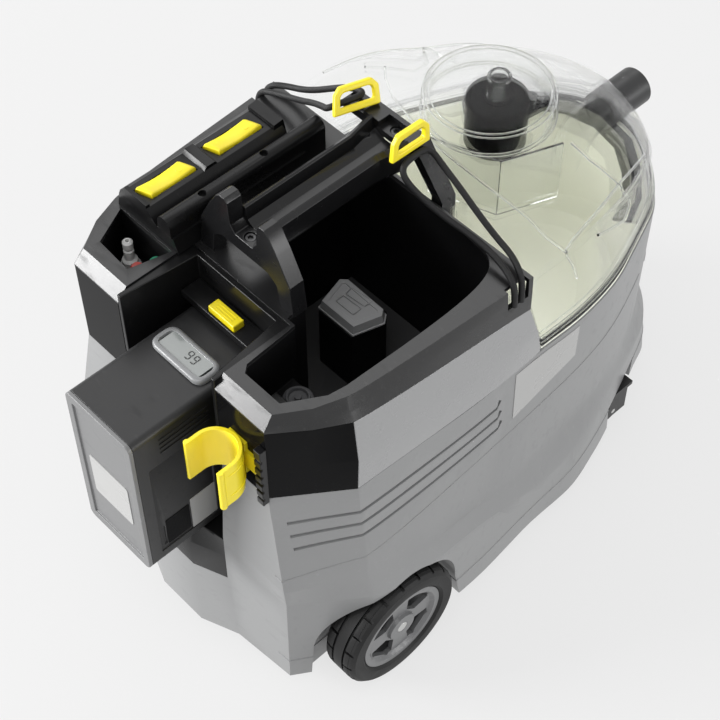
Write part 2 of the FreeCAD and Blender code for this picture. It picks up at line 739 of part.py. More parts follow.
def make_well():
    """Service well on the left, which holds the water couplings."""
    wall = size("bin_wall")
    top = size("deck_top") - size("deck_plate")
    shelf = size("bin_shelf")
    inner = column(well_ring(), shelf, top + 1)
    feed = sector(size("feed_radius"), shelf - 3 * wall, shelf + wall, size("coupling_x"), size("coupling_y"))
    return column(well_ring(wall), shelf - wall, top).cut([inner, feed])


service_well = feature("service_well", make_well())


def make_well_cover():
    """Black block that covers the hose connection in the raised right well."""
    floor = size("bin_shelf")
    body = block((-203, -112, floor), (-186, -70, floor + 24))
    outline = column(bin_ring(-0.4), floor - 1, floor + 40, BIN_BEND)
    return body.common(outline)


well_block = feature("well_block", make_well_cover())
hose_plug = join("hose_plug",
                 rod("plug_body", ("-174", "-79", "bin_shelf"), "9", "16"),
                 rod("plug_flange", ("-174", "-79", "bin_shelf + 11"), "11", "3"))

# Fresh water: tank low in the tub, neck up into the bin, cap on the neck

fresh_tank_form = join("fresh_tank_form",
                       box("tank_rear_half", ("tank_rear", "-tank_half", "tank_foot - 2"),
                           ("tank_step - tank_rear", "2 * tank_half", "tank_top - tank_foot + 2")),
                       box("tank_front_half", ("tank_step - 1", "-tank_narrow", "tank_foot - 2"),
                           ("tank_nose - tank_step + 1", "2 * tank_narrow", "tank_top - tank_foot + 2")),
                       box("tank_lug", ("neck_x - neck_radius - 4", "neck_y - neck_radius - 4", "tank_top - 30"),
                           ("tank_rear - neck_x + neck_radius + 5", "2 * neck_radius + 8", "30")))
fresh_tank_room = join("fresh_tank_room",
                       box("room_rear_half", ("tank_rear + tank_wall", "tank_wall - tank_half", "tank_foot - 2 + tank_wall"),
                           ("tank_step - tank_rear - 2 * tank_wall", "2 * (tank_half - tank_wall)",
                            "tank_top - tank_foot + 2 - 2 * tank_wall")),
                       box("room_front_half", ("tank_step - 2 * tank_wall", "tank_wall - tank_narrow", "tank_foot - 2 + tank_wall"),
                           ("tank_nose - tank_step + tank_wall", "2 * (tank_narrow - tank_wall)",
                            "tank_top - tank_foot + 2 - 2 * tank_wall")),
                       box("room_lug", ("neck_x - neck_radius - 4 + tank_wall", "neck_y - neck_radius - 4 + tank_wall",
                                        "tank_top - 30 + tank_wall"),
                           ("tank_rear - neck_x + neck_radius + 5", "2 * neck_radius + 8 - 2 * tank_wall", "30 - 2 * tank_wall")),
                       rod("room_mouth", ("neck_x", "neck_y", "tank_top - 2 * tank_wall"), "neck_bore", "3 * tank_wall"))
fresh_tank = cut("fresh_tank", fresh_tank_form, fresh_tank_room)
neck_outer = join("neck_outer",
                  rod("neck_pipe", ("neck_x", "neck_y", "tank_top"), "neck_radius", "neck_top - tank_top"),
                  box("neck_square", ("neck_x - neck_block / 2", "neck_y - neck_block / 2", "bin_floor + mat_thick"),
                      ("neck_block", "neck_block", "neck_top - bin_floor - mat_thick")))
fill_neck = cut("fill_neck", neck_outer,
                rod("neck_hole", ("neck_x", "neck_y", "tank_top - 1"), "neck_bore", "neck_top - tank_top + 2"))


def make_fill_cap():
    """Flat cap with one straight and one cranked side, a stepped flange and a plug below."""
    x = size("neck_x")
    y = size("neck_y")
    foot = size("neck_top") + size("seat_gap")
    top = size("cap_top")
    plate = [Vector(x + dx, y + dy, 0) for dx, dy in
             [(-15, -17), (8, -24), (13, -20), (14, 20), (9.5, 24.5), (-15, 18)]]
    head = loft(on_level(inset(plate, -1.5), level(foot + 1.5)), on_level(plate, level(top)))
    flange = column(inset(plate, -2.5), foot, foot + 1.5)
    plug = sector(size("neck_bore") - 0.3, foot - 16, foot, x, y)
    window = column(inset(plate, 4.0), top - 0.8, top + 1)
    return head.fuse([flange, plug]).cut(window)


fill_cap = feature("fill_cap", make_fill_cap())

# Handle

def make_rear_arch():
    """Rear arch of the handle: two legs, two horns and the saddle the grip lies in."""
    foot = size("arch_half")
    horn = size("horn_half")
    top = size("horn_top")
    low = size("deck_top")
    half = [(foot, low), (foot - 3, low + 28), (horn + 8, top - 16), (horn, top - 3), (horn - 4, top), (18, top),
            (15, top - 3), (13.5, size("saddle") + 6), (9, size("saddle"))]
    inner = [(-foot + 14, low), (-foot + 17, low + 20), (-24, low + 26), (24, low + 26), (foot - 17, low + 20), (foot - 14, low)]
    outline = half + [(-y, z) for y, z in reversed(half)] + inner
    rear = size("arch_rear")
    arch = front_prism(outline, rear, rear + size("arch_thick"))
    screw = Part.makeCylinder(size("screw_radius"), 8, Vector(rear + 6.5, 0, size("saddle") - 4))
    return arch.cut(screw)


handle_rear_arch = feature("handle_rear_arch", make_rear_arch())


def grip_section(grow):
    """Half section of the trough-shaped grip, from its rim down and round."""
    top = size("grip_top")
    half = size("grip_half") + grow
    foot = top - size("grip_deep")
    side = [(half - 3.5, top), (half, top - 3), (half, top - 20), (half - 4, foot + 5), (half - 9, foot)]
    trough = [(half - 5, top - 1), (half - 7, top - 11), (4, top - 15)]
    outer = [(-y, z) for y, z in side] + [(y, z) for y, z in reversed(side)]
    return outer + trough + [(-y, z) for y, z in reversed(trough)]


def make_grip():
    """Trough-shaped grip bar, which widens towards the front arch."""
    rear = size("arch_rear") + size("arch_thick")
    front = size("grip_front")
    stations = ((rear, 0.0), (front - 26, 0.0), (front, 5.0))
    wires = [Part.makePolygon([Vector(x, y, z) for y, z in section + section[:1]])
             for x, section in ((x, grip_section(grow)) for x, grow in stations)]
    return Part.makeLoft(wires, True, True)


handle_grip = feature("handle_grip", make_grip())


def arch_leg(stations):
    """Leg through level sections, each with its X span, Y span and height."""
    rings = [[Vector(x1, y1, z), Vector(x2, y1, z), Vector(x2, y2, z), Vector(x1, y2, z)]
             for (x1, x2), (y1, y2), z in stations]
    return loft(*rings)


def make_front_arch():
    """Front arch: flat bridge, two splayed legs down the bin's front wall and the hook peg."""
    top = size("bridge_top")
    front = size("bridge_front")
    back = size("grip_front")
    half = size("bridge_half")
    foot = size("foot_half")
    step = size("foot_front")
    wall = size("bin_front") + size("bin_wall")
    bridge = block((back, -half, top - 12), (front, half, top))
    notch = block((back - 1, -11, top - 6), (front - 4, 11, top + 1))
    leg = arch_leg([((wall, step - 1.5), (foot - 10, foot + 2), 296), ((wall + 4, step), (foot - 11, foot), size("deck_top")),
                    ((back, front), (half - 12, half), top)])
    peg = block((back - 1, half - 4, top - 10), (front - 1, half + 21, top - 2))
    cross = block((wall, -foot - 2, 296), (wall + 4, foot + 2, 316))
    screw = Part.makeCylinder(size("screw_radius"), 8, Vector(-4, 0, top - 13))
    return bridge.fuse(both_sides(leg) + [peg, cross]).cut([notch, screw])


handle_front_arch = feature("handle_front_arch", make_front_arch())
handle_screws = join("handle_screws",
                     rod("screw_rear", ("arch_rear + 6.5", "0", "saddle - 4"), "screw_radius", "3"),
                     rod("screw_front", ("-4", "0", "bridge_top - 13"), "screw_radius", "6"))

# Console with its two rocker switches

def console_profile():
    """Cross section of the switch platform with its slopes, as Y and Z pairs."""
    low = size("deck_top")
    top = size("platform_top")
    inner = size("ridge_y") - size("ridge_radius")
    return [(inner - 2, low), (inner - 2, low + 18), (inner + 16, low + 18), (size("platform_in") - 5, top - 4),
            (size("platform_in"), top), (size("platform_out"), top), (size("platform_out") + 5, top - 3),
            (size("console_out"), low)]


def rocker_ring(middle, grow):
    """Plan outline of a rocker: a slab with its outer side set back, so its ends run slanted."""
    length = size("rocker_length") / 2 + grow
    width = size("rocker_width") / 2 + grow
    y = size("rocker_y")
    return [Vector(middle - length + 5, y - width, 0), Vector(middle + length, y - width, 0),
            Vector(middle + length - 5, y + width, 0), Vector(middle - length, y + width, 0)]


def make_console():
    """Switch console: platform with raised prows, round inner ridge and the two switch pockets."""
    rear = size("console_rear")
    front = size("console_front")
    low = size("deck_top")
    top = size("platform_top")
    ridge_y = size("ridge_y")
    radius = size("ridge_radius")
    crown = size("ridge_top") - radius
    platform = front_prism(console_profile(), rear, front)
    slope = side_prism([(rear - 1, low - 1), (rear + 4, low - 1), (rear, top - 8), (rear, top + 9), (rear - 1, top + 9)], 40, 130)
    prow = side_prism([(front - 8, top - 6), (front + 4, top - 12), (front + 1, top + 4), (front - 8, top + 3)],
                      size("platform_in") - 2, size("platform_out") + 2)
    prow_rear = side_prism([(rear, top - 3), (rear + 3.5, top - 3), (rear + 3.5, top + 2.5), (rear, top + 3)],
                           size("platform_in"), size("platform_out"))
    ridge_end = size("ridge_front")
    round_bar = Part.makeCylinder(radius, ridge_end - rear, Vector(rear, ridge_y, crown), Vector(1, 0, 0))
    ridge = block((rear, ridge_y - radius, low), (ridge_end, ridge_y + radius, crown))
    wedge = side_prism([(-121, top - 1), (-107, top - 1), (-110, top + 3), (-118, top + 3)], size("platform_in"), size("platform_out"))
    pockets = [column(rocker_ring(size(middle), size("rocker_gap")), top - 14, top + 20)
               for middle in ("rocker_first", "rocker_second")]
    screws = [sector(3.2, crown + radius - 4, crown + radius + 2, x, ridge_y) for x in (-138, -80)]
    housing = platform.fuse([round_bar, ridge, prow, prow_rear, wedge])
    return housing.cut([slope] + pockets + screws)


console_housing = feature("console_housing", make_console())


def make_rocker(middle):
    """Rocker switch: slanted ends, two faces that fall to the middle, room below to tip."""
    top = size("platform_top")
    low = top - 10
    slab = loft(on_level(rocker_ring(middle, -0.3), level(low)), on_level(rocker_ring(middle, 0.0), level(top - 3)),
                on_level(rocker_ring(middle, -0.7), level(top + size("rocker_rise"))))
    length = size("rocker_length") / 2
    head = top + size("rocker_rise")
    dip = side_prism([(middle - length - 2, head + 0.5), (middle - 3, head - 2.2), (middle + 3, head - 2.2),
                      (middle + length + 2, head + 0.5), (middle + length + 2, head + 3), (middle - length - 2, head + 3)], 70, 110)
    return slab.cut(dip)


rocker_rear = feature("rocker_rear", make_rocker(size("rocker_first")))
rocker_front = feature("rocker_front", make_rocker(size("rocker_second")))

# Battery, its display, the release bar and its button

def rounded(shape, radius, direction):
    """Round the edges of a box that run along one direction."""
    edges = [edge for edge in shape.Edges if abs(edge.tangentAt(edge.FirstParameter).dot(direction)) > 0.99]
    return shape.makeFillet(radius, edges)


def make_battery_case():
    """Battery case with rounded edges and a shallow panel with vent grooves on each side."""
    rear = size("battery_rear") + size("end_frame")
    half = size("battery_half")
    low = size("bay_floor") + size("seat_gap")
    top = size("battery_top")
    case = rounded(block((rear, -half, low), (size("battery_front"), half, top)), size("battery_round"), Vector(1, 0, 0))
    panel = block((rear + 10, half - 1.2, low + 12), (rear + 64, half + 5, top - 38))
    vents = [block((rear + 14 + 4 * n, half - 2.4, low + 16), (rear + 15.6 + 4 * n, half, low + 40)) for n in range(3)]
    return case.cut([shape for tool in [panel] + vents for shape in both_sides(tool)])


battery_case = feature("battery_case", make_battery_case())


def make_end_frame():
    """Light end plate of the battery: a raised frame round a shallow recess."""
    rear = size("battery_rear")
    half = size("battery_half")
    low = size("bay_floor") + size("seat_gap")
    top = size("battery_top")
    plate = block((rear, -half, low), (rear + size("end_frame"), half, top))
    plate = rounded(plate, size("battery_round"), Vector(1, 0, 0))
    recess = block((rear - 1, 7 - half, low + 9), (rear + 1.6, half - 7, top - 9))
    return plate.cut(recess)


battery_end_frame = feature("battery_end_frame", make_end_frame())
display_plinth = box("display_plinth", ("display_x - display_deep / 2", "-display_half", "battery_top"),
                     ("display_deep", "2 * display_half", "4.2"))
display_pocket = box("display_pocket", ("display_x - display_deep / 2 + 4", "-display_half + 6", "battery_top + 2"),
                     ("display_deep - 8", "2 * display_half - 12", "5"))
display_frame = cut("display_frame", display_plinth, display_pocket)
display_screen = box("display_screen", ("display_x - display_deep / 2 + 4", "-display_half + 6", "battery_top + 2"),
                     ("display_deep - 8", "2 * display_half - 12", "1.6"))
bar_half = "(bay_half - bay_wall - 7)"
bar_body = box("bar_body", ("bar_rear", "-" + bar_half, "bar_foot"),
               ("bay_front - tub_wall - bar_rear", "2 * " + bar_half, "bar_thick"))
bar_slot = box("bar_slot", ("bar_rear + 2", "-button_half - 0.3", "bar_foot - 1"),
               ("10.6", "2 * button_half + 0.6", "bar_thick + 2"))
release_bar = cut("release_bar", bar_body, bar_slot)
release_button = box("release_button", ("bar_rear + 2.3", "-button_half", "bar_foot"),
                     ("10", "2 * button_half", "bar_thick + 5"))

# Rear running gear

tyre_profile = [("rim_radius", "-wheel_width / 2 + 3"), ("rim_radius + 3", "-wheel_width / 2"),
                ("wheel_radius - 4", "-wheel_width / 2"), ("wheel_radius - 1", "-wheel_width / 2 + 3"),
                ("wheel_radius", "-wheel_width / 2 + 8"), ("wheel_radius", "wheel_width / 2 - 8"),
                ("wheel_radius - 1", "wheel_width / 2 - 3"), ("wheel_radius - 4", "wheel_width / 2"),
                ("rim_radius + 3", "wheel_width / 2"), ("rim_radius", "wheel_width / 2 - 3")]


def tread_tools(middle):
    """Two shallow ring grooves and the cross cuts of a tyre's tread."""
    radius = size("wheel_radius")
    x = size("wheel_x")
    width = size("wheel_width")
    count = int(size("tread_cuts"))
    tools = []
    for offset in (-width / 6, width / 6):
        outer = Part.makeCylinder(radius + 2, 2.0, Vector(x, middle + offset - 1, radius), Vector(0, 1, 0))
        inner = Part.makeCylinder(radius - 2, 4.0, Vector(x, middle + offset - 2, radius), Vector(0, 1, 0))
        tools.append(outer.cut(inner))
    for number in range(count):
        bar = block((x - 1.3, middle - width / 2 - 1, 2 * radius - 2.2), (x + 1.3, middle - width / 6, 2 * radius + 3))
        for piece, phase in ((bar, 0.0), (bar.mirror(Vector(0, middle, 0), Vector(0, 1, 0)), 0.5)):
            turned = piece.copy()
            turned.rotate(Vector(x, middle, radius), Vector(0, 1, 0), 360.0 * (number + phase) / count)
            tools.append(turned)
    return tools


def make_wheel(side, hand):
    """Tyre and hub of one rear wheel; the hub's pockets face outwards."""
    middle = "(wheel_outer - wheel_width / 2)"
    at = ("wheel_x", ("" if side > 0 else "-") + middle, "wheel_radius")
    plain = turned_body("plain_tyre_" + hand, tyre_profile, at, ALONG_Y)
    y = side * (size("wheel_outer") - size("wheel_width") / 2)
    tread = feature("tread_cuts_" + hand, Part.makeCompound(tread_tools(y)))
    tyre = cut("tyre_" + hand, plain, tread)
    outer = "wheel_width / 2 - 2" if side > 0 else "2 - wheel_width / 2"
    face = "wheel_width / 2 - 9" if side > 0 else "9 - wheel_width / 2"
    inner = "4 - wheel_width / 2" if side > 0 else "wheel_width / 2 - 4"
    profile = [("axle_radius + bore_gap", inner), ("axle_radius + 7", inner), ("axle_radius + 9", face),
               ("rim_radius - 5", face), ("rim_radius - 5", inner), ("rim_radius", inner), ("rim_radius", outer),
               ("rim_radius - 5", outer), ("rim_radius - 8", face + (" + 4" if side > 0 else " - 4")),
               ("axle_radius + 9", face + (" + 4" if side > 0 else " - 4")), ("axle_radius + 8", outer),
               ("axle_radius + bore_gap", outer)]
    blank = turned_body("hub_blank_" + hand, profile, at, ALONG_Y)
    tools = feature("hub_pockets_" + hand, Part.makeCompound(hub_pockets(side)))
    return tyre, cut("hub_" + hand, blank, tools)


def hub_pockets(side):
    """Four trapezoid windows between the hub's spokes."""
    x = size("wheel_x")
    z = size("wheel_radius")
    small = size("axle_radius") + 11
    large = size("rim_radius") - 9
    y = side * size("wheel_outer")
    windows = []
    for number in range(4):
        outline = [(x - 6, z + small), (x + 6, z + small), (x + 15, z + large - 4), (x + 11, z + large),
                   (x - 11, z + large), (x - 15, z + large - 4)]
        window = side_prism(outline, min(y, y - side * 40), max(y, y - side * 40))
        window.rotate(Vector(x, 0, z), Vector(0, 1, 0), 90.0 * number + 45)
        windows.append(window)
    return windows


tyre_right, hub_right = make_wheel(-1, "right")
tyre_left, hub_left = make_wheel(1, "left")
rear_axle = rod("rear_axle", ("wheel_x", "-(wheel_outer - 2)", "wheel_radius"), "axle_radius", "2 * (wheel_outer - 2)", ALONG_Y)

# Front casters: fork with stem, wheel and pin

def make_caster(side, hand):
    """Fork, wheel and pin of one swivel caster, trailing behind its stem."""
    sign = "" if side > 0 else "-"
    middle = sign + "caster_y"
    wheel_at = ("caster_x - caster_trail", middle, "caster_radius")
    leg_in = "(caster_width / 2 + 0.6)"
    legs = []
    for name, offset in (("inner", "-" + leg_in + " - 3"), ("outer", leg_in)):
        legs.append(box("fork_%s_%s" % (name, hand), ("caster_x - caster_trail - 7", middle + " + (" + offset + ")", "caster_radius - 6"),
                        ("caster_trail + 13", "3", "caster_radius + 7.5")))
    plate = box("fork_plate_" + hand, ("caster_x - caster_trail - 7", middle + " - " + leg_in + " - 3", "2 * caster_radius + 1"),
                ("caster_trail + 19", "2 * " + leg_in + " + 6", "fork_plate"))
    stem = rod("fork_stem_" + hand, ("caster_x", middle, "2 * caster_radius + 2"), "stem_radius - bore_gap", "fork_plate + 20")
    blank = join("fork_blank_" + hand, *legs, plate, stem)
    hole = rod("fork_hole_" + hand, ("caster_x - caster_trail", middle + " - 30", "caster_radius"), "pin_radius", "60", ALONG_Y)
    fork = cut("caster_fork_" + hand, blank, hole)
    half = "caster_width / 2"
    profile = [("pin_radius + bore_gap", "-" + half), ("caster_radius - 4", "-" + half), ("caster_radius - 1.5", "2 - " + half),
               ("caster_radius", "4 - " + half), ("caster_radius", half + " - 4"), ("caster_radius - 1.5", half + " - 2"),
               ("caster_radius - 4", half), ("pin_radius + bore_gap", half)]
    wheel = turned_body("caster_wheel_" + hand, profile, wheel_at, ALONG_Y)
    pin = rod("caster_pin_" + hand, ("caster_x - caster_trail", middle + " - " + leg_in + " - 3", "caster_radius"),
              "pin_radius", "2 * " + leg_in + " + 6", ALONG_Y)
    return fork, wheel, pin


caster_fork_right, caster_wheel_right, caster_pin_right = make_caster(-1, "right")
caster_fork_left, caster_wheel_left, caster_pin_left = make_caster(1, "left")

# Dirty water tank, cover seal and clear cover

def nose_space(rear):
    """Everything in front of a plane across the machine."""
    return block((rear, -300, 0), (400, 300, 600))


def stub_space():
    """Space of the hose stub through the cover's nose."""
    start = Vector(size("stub_rear") - 20, 0, size("stub_z"))
    return Part.makeCylinder(size("stub_radius"), 100, start, Vector(1, 0, 0))


def tank_form(depth, floor, above):
    """Tapered form of the dirty water tank, set in from its outer faces."""
    side = size("tub_wall") + size("dirty_gap") + depth
    low = level(size("dirty_foot") + floor)
    foot = on_level(inset(RIM, side + size("dirty_taper")), low)
    rim = [corner + Vector(0, 0, above) for corner in on_level(inset(RIM, side), parting)]
    return loft(foot, rim, bends=NOSE_BEND).common(nose_space(size("dirty_rear") + depth))


def rim_band(low, high, outer, inner, rear):
    """Flat band over the parting line between two depths, in front of a plane."""
    rings = [[corner + Vector(0, 0, lift) for corner in on_level(inset(RIM, outer), parting)] for lift in (low, high)]
    hole = [[corner + Vector(0, 0, lift) for corner in on_level(inset(RIM, inner), parting)] for lift in (low - 1, high + 1)]
    band = loft(*rings, bends=NOSE_BEND).common(nose_space(rear))
    return band.cut(loft(*hole, bends=NOSE_BEND).common(nose_space(rear + inner - outer)))


def make_dirty_tank():
    """Dirty water tank: tapered bucket that hangs in the tub by its flange."""
    wall = size("dirty_wall")
    seat = size("seat_gap")
    bucket = tank_form(0.0, 0.0, seat + size("flange_thick"))
    flange = rim_band(seat, seat + size("flange_thick"), 1.0, size("tub_wall") + size("dirty_gap") + wall, size("dirty_rear") - 3)
    hollow = tank_form(wall, wall, 12.0)
    y = size("fan_y")
    half = size("duct_half") - 6
    port = block((size("dirty_rear") - 2, y - half, size("port_low")), (size("dirty_rear") + wall + 2, y + half, size("port_high")))
    return bucket.fuse(flange).cut([hollow, port])


dirty_tank = feature("dirty_tank", make_dirty_tank())
seal_low = 2 * size("seat_gap") + size("flange_thick")
cover_seal = feature("cover_seal", rim_band(seal_low, seal_low + size("seal_thick"), 1.5, 6.0, size("dirty_rear") - 1.5))
cover_foot = seal_low + size("seal_thick")


def cover_stations():
    """Sections of the clear cover: X, half width at the foot, half width and height of the shoulder, height of the ridge."""
    half = size("rim_half")
    top = size("cover_top")
    return [(size("cover_rear"), half - 2.5, half - 10.5, top - 9, top), (20, half - 3, half - 12, top - 9, top),
            (60, half - 4, half - 12, top - 9, top), (100, half - 9, half - 19, top - 15, top), (130, half - 17, half - 28, top - 25, top - 3),
            (165, half - 30, half - 41, top - 34, top - 12), (200, half - 46, half - 60, top - 48, top - 27),
            (222, half - 64, half - 81, top - 59, top - 41), (240, half - 84, half - 104, top - 70, top - 58),
            (252, half - 100, half - 122, top - 81, top - 74), (262, half - 126, half - 130, top - 102, top - 99)]


def cover_section(station, depth, below):
    """Closed cross section: straight foot and walls, and a smooth roof from shoulder to shoulder."""
    x, foot, shoulder, height, ridge = station
    low = parting(x) + cover_foot - below
    crown = height + 0.78 * (ridge - height)
    side = shoulder - depth
    roof = [(1.0, height - 7), (0.955, height - 1.5), (0.55, crown), (0.0, ridge)]
    right = [Vector(x, -side * share, up - depth) for share, up in roof]
    over = right + [Vector(x, -corner.y, corner.z) for corner in reversed(right[:3])]
    corners = [Vector(x, depth - foot, low)] + over + [Vector(x, foot - depth, low)]
    return ring_wire(corners, ((1, 7),))


def cover_form(depth, below):
    """Vaulted form of the cover, set in from its outer faces."""
    return Part.makeLoft([cover_section(station, depth, below) for station in cover_stations()], True, False)


def rear_space(depth):
    """Space behind the cover's rear wall: the handle's notch and the slanted lower edge."""
    notch_half = size("notch_half") + depth
    front = size("notch_front") + depth
    rear = size("cover_rear") + depth
    notch = block((-50, -notch_half, 200), (front, notch_half, 420))
    slant = side_prism([(-50, 420), (-50, 200), (front, 200), (front, parting(front)), (rear, deck_foot(-2)), (rear, 420)], -200, 200)
    return notch.fuse(slant)


def dome(depth, low):
    """Round raised dome on the roof, with a rounded shoulder."""
    radius = size("dome_radius") - depth
    top = size("dome_top") - depth
    drum = Part.makeCylinder(radius, top - low, Vector(size("dome_x"), 0, low))
    edges = [edge for edge in drum.Edges if edge.BoundBox.ZMin > top - 0.1]
    return drum.makeFillet(9.0 - depth, edges)


def make_cover():
    """Clear cover over the dirty water tank, with its dome and a round hole for the hose stub."""
    wall = size("cover_wall")
    roof = size("cover_top")
    flange = rim_band(cover_foot, cover_foot + size("flange_thick"), 1.5, 1.5 + 2 * wall, size("cover_rear"))
    outer = cover_form(0.0, 0.0).cut(rear_space(0.0)).fuse([dome(0.0, roof - 12), flange.cut(rear_space(0.0))])
    inner = cover_form(wall, 6.0).cut(rear_space(wall)).fuse(dome(wall, roof - 14))
    return outer.cut([inner, stub_space()])


clear_cover = feature("clear_cover", make_cover())
stub_tube = rod("stub_tube", ("stub_rear", "0", "stub_z"), "stub_radius", "stub_front - stub_rear", ALONG_X)
stub_hole = rod("stub_hole", ("stub_rear - 1", "0", "stub_z"), "stub_bore", "stub_front - stub_rear + 2", ALONG_X)
hose_stub = cut("hose_stub", stub_tube, stub_hole)


def make_float_housing():
    """Slotted cage of the float, hung from the dome by its knob."""
    x = size("float_x")
    y = size("float_y")
    radius = size("float_radius")
    low = size("float_foot")
    top = size("float_top")
    shell = sector(radius, low, top, x, y).cut(sector(radius - 2.5, low + 2.5, top - 2.5, x, y))
    mouth = sector(size("ball_radius") - 3, low - 1, low + 5, x, y)
    slots = []
    for number in range(6):
        slot = block((x + radius - 5, y - 5, low + 8), (x + radius + 3, y + 5, top - 12))
        slot.rotate(Vector(x, y, 0), Vector(0, 0, 1), 60.0 * number)
        slots.append(slot)
    knob = sector(11, top - 1, size("dome_top") - size("cover_wall"), x, y)
    return shell.cut([mouth] + slots).fuse(knob)


float_housing = feature("float_housing", make_float_housing())
float_ball = doc.addObject("Part::Sphere", "float_ball")
bind(float_ball, {"Radius": "ball_radius"})
place(float_ball, ("float_x", "float_y",
                   "float_foot + 2.5 + sqrt((ball_radius + seat_gap) ^ 2 - (ball_radius - 3) ^ 2)"))

# Clip for the suction tube, with its rail

rail_body = box("rail_body", ("column_rear - 6", "-(clip_y + 29)", "260"), ("6", "7", "63"))
rail_grooves = [box("rail_groove_%d" % number, ("column_rear - 7", "-(clip_y + 30)", "%d" % (266 + 9 * number)), ("2.5", "9", "3"))
                for number in range(6)]
clip_rail = cut("clip_rail", rail_body, *rail_grooves)


def make_clip():
    """Spring clip: a half ring with two straight jaws, waved outside, on a pad and a side tab."""
    low = size("clip_foot")
    high = size("clip_top")
    bore = size("clip_bore")
    outer = bore + size("clip_wall")
    back = size("column_rear")
    x = back - size("clip_pad") - outer + 0.5
    y = -size("clip_y")
    jaw = size("clip_jaw")
    body = sector(outer, low, high, x, y).fuse(block((x - jaw, y - outer, low), (x, y + outer, high)))
    lips = [sector(2.6, low, high, x - jaw, y + side * (bore + 1.5)) for side in (-1, 1)]
    space = sector(bore, low - 1, high + 1, x, y).fuse(block((x - outer - 2, y - bore, low - 1), (x, y + bore, high + 1)))
    beyond = block((x - outer - 2, y - bore - 1, low - 1), (x - jaw, y + bore + 1, high + 1))
    pad = block((back - size("clip_pad"), y - 9, low + 4), (back, y + 9, high - 4))
    tab = block((back - size("clip_pad"), y - 22, low + 12), (back, y - 5, low + 30))
    return body.cut(beyond).fuse(lips + [pad, tab]).cut(space)


accessory_clip = feature("accessory_clip", make_clip())

# Strap hooks: flat yellow rings hooked over the handle, each in a plane through its base line

def make_hook(foot_rear, foot_front, up):
    """Rounded D ring on its base line, leaning along the given direction."""
    along = foot_front - foot_rear
    length = along.Length
    wire = size("hook_wire")
    height = up.Length
    outline = [Vector(-2, 0, 0), Vector(length + 2, 0, 0), Vector(length + 3.5, height - 6, 0),
               Vector(length - 1, height, 0), Vector(7, height, 0), Vector(2, height - 5, 0)]
    ring_shape = column(outline, 0, wire).cut(column(inset(outline, wire), -1, wire + 1))
    axis_x = along.normalize()
    axis_z = axis_x.cross(up).normalize()
    axis_y = axis_z.cross(axis_x)
    matrix = FreeCAD.Matrix(axis_x.x, axis_y.x, axis_z.x, foot_rear.x, axis_x.y, axis_y.y, axis_z.y, foot_rear.y,
                            axis_x.z, axis_y.z, axis_z.z, foot_rear.z, 0, 0, 0, 1)
    placed = ring_shape.copy()
    placed.Placement = Placement(matrix)
    return placed


hook_seat = size("bridge_top") + 0.3
hook_right = feature("hook_right", make_hook(Vector(-33, -23.5, hook_seat), Vector(0, -24, hook_seat), Vector(0, 3.5, 18.5)))
hook_left = feature("hook_left", make_hook(Vector(-31, 36.5, hook_seat), Vector(1, 26, hook_seat), Vector(2, 10, 17.5)))


def tube_path(points, radius_name):
    """Straight runs joined by tangent arcs through a hand-chosen route; prints the arc radii."""
    edges = []
    radii = []
    here = points[0]
    for index in range(1, len(points) - 1):
        corner = points[index]
        before = points[index - 1] - corner
        after = points[index + 1] - corner
        reach = 0.45 * min(before.Length, after.Length)
        start = corner + Vector(before).normalize() * reach
        finish = corner + Vector(after).normalize() * reach
        turn = math.pi - before.getAngle(after)
        radius = reach / math.tan(turn / 2)
        bisector = (Vector(before).normalize() + Vector(after).normalize()).normalize()
        middle = corner + bisector * (radius / math.cos(turn / 2) - radius)
        edges.append(Part.LineSegment(here, start).toShape())
        edges.append(Part.Arc(start, middle, finish).toShape())
        radii.append(round(radius, 1))
        here = finish
    edges.append(Part.LineSegment(here, points[-1]).toShape())
    print(radius_name, "arc radii", radii)
    return Part.Wire(edges)


def make_strap(name, points):
    """One elastic cord from slot to slot, round the base of its hook."""
    points = [Vector(*point) for point in points]
    path = tube_path(points, name)
    radius = size("strap_radius")
    direction = (points[1] - points[0]).normalize()
    profile = Part.Wire([Part.makeCircle(radius, points[0], direction)])
    tube = path.makePipeShell([profile], True, False)
    print(name, "length", round(path.Length, 1), "volume ratio", round(tube.Volume / (math.pi * radius ** 2 * path.Length), 4))
    return tube


STRAP_RIGHT = [(-19.5, -137.6, 334.9), (-19.5, -137.4, 346), (-18.5, -133, 356.5), (-15.5, -121, 360), (-13.5, -105, 362.5),
               (-15, -86, 366), (-20, -66, 371.5), (-26, -49, 382), (-31, -36.5, 395), (-29, -31.4, 402.5), (-16, -30.9, 405),
               (-1, -31, 402.5), (-2.3, -45, 396.5), (-2.2, -63, 386.5), (-1.5, -82, 373), (-1.5, -101, 363),
               (-3.5, -118, 360), (-9.5, -131.8, 357.5), (-12.3, -137.2, 349), (-12.5, -137.6, 334.9)]
STRAP_LEFT = [(-19.5, 137.6, 334.9), (-19.5, 137.4, 346), (-18.7, 133.2, 356.5), (-17, 122.5, 361), (-15, 106, 366.5),
              (-17, 88, 376), (-20.5, 70, 388.5), (-26, 54, 399.5), (-30.5, 45, 406.5), (-22, 40.6, 409.2), (-8, 36.2, 409.2),
              (-0.5, 37.4, 409), (-1, 52, 404), (-1.5, 70, 391), (-1.8, 88, 377), (-1.8, 105, 366),
              (-3.5, 120, 360.5), (-9, 132.2, 357.5), (-11.6, 137.2, 349), (-11.8, 137.6, 334.9)]
strap_right = feature("strap_right", make_strap("strap_right", STRAP_RIGHT))
strap_left = feature("strap_left", make_strap("strap_left", STRAP_LEFT))

# Service well: white spray coupling, red and green caps

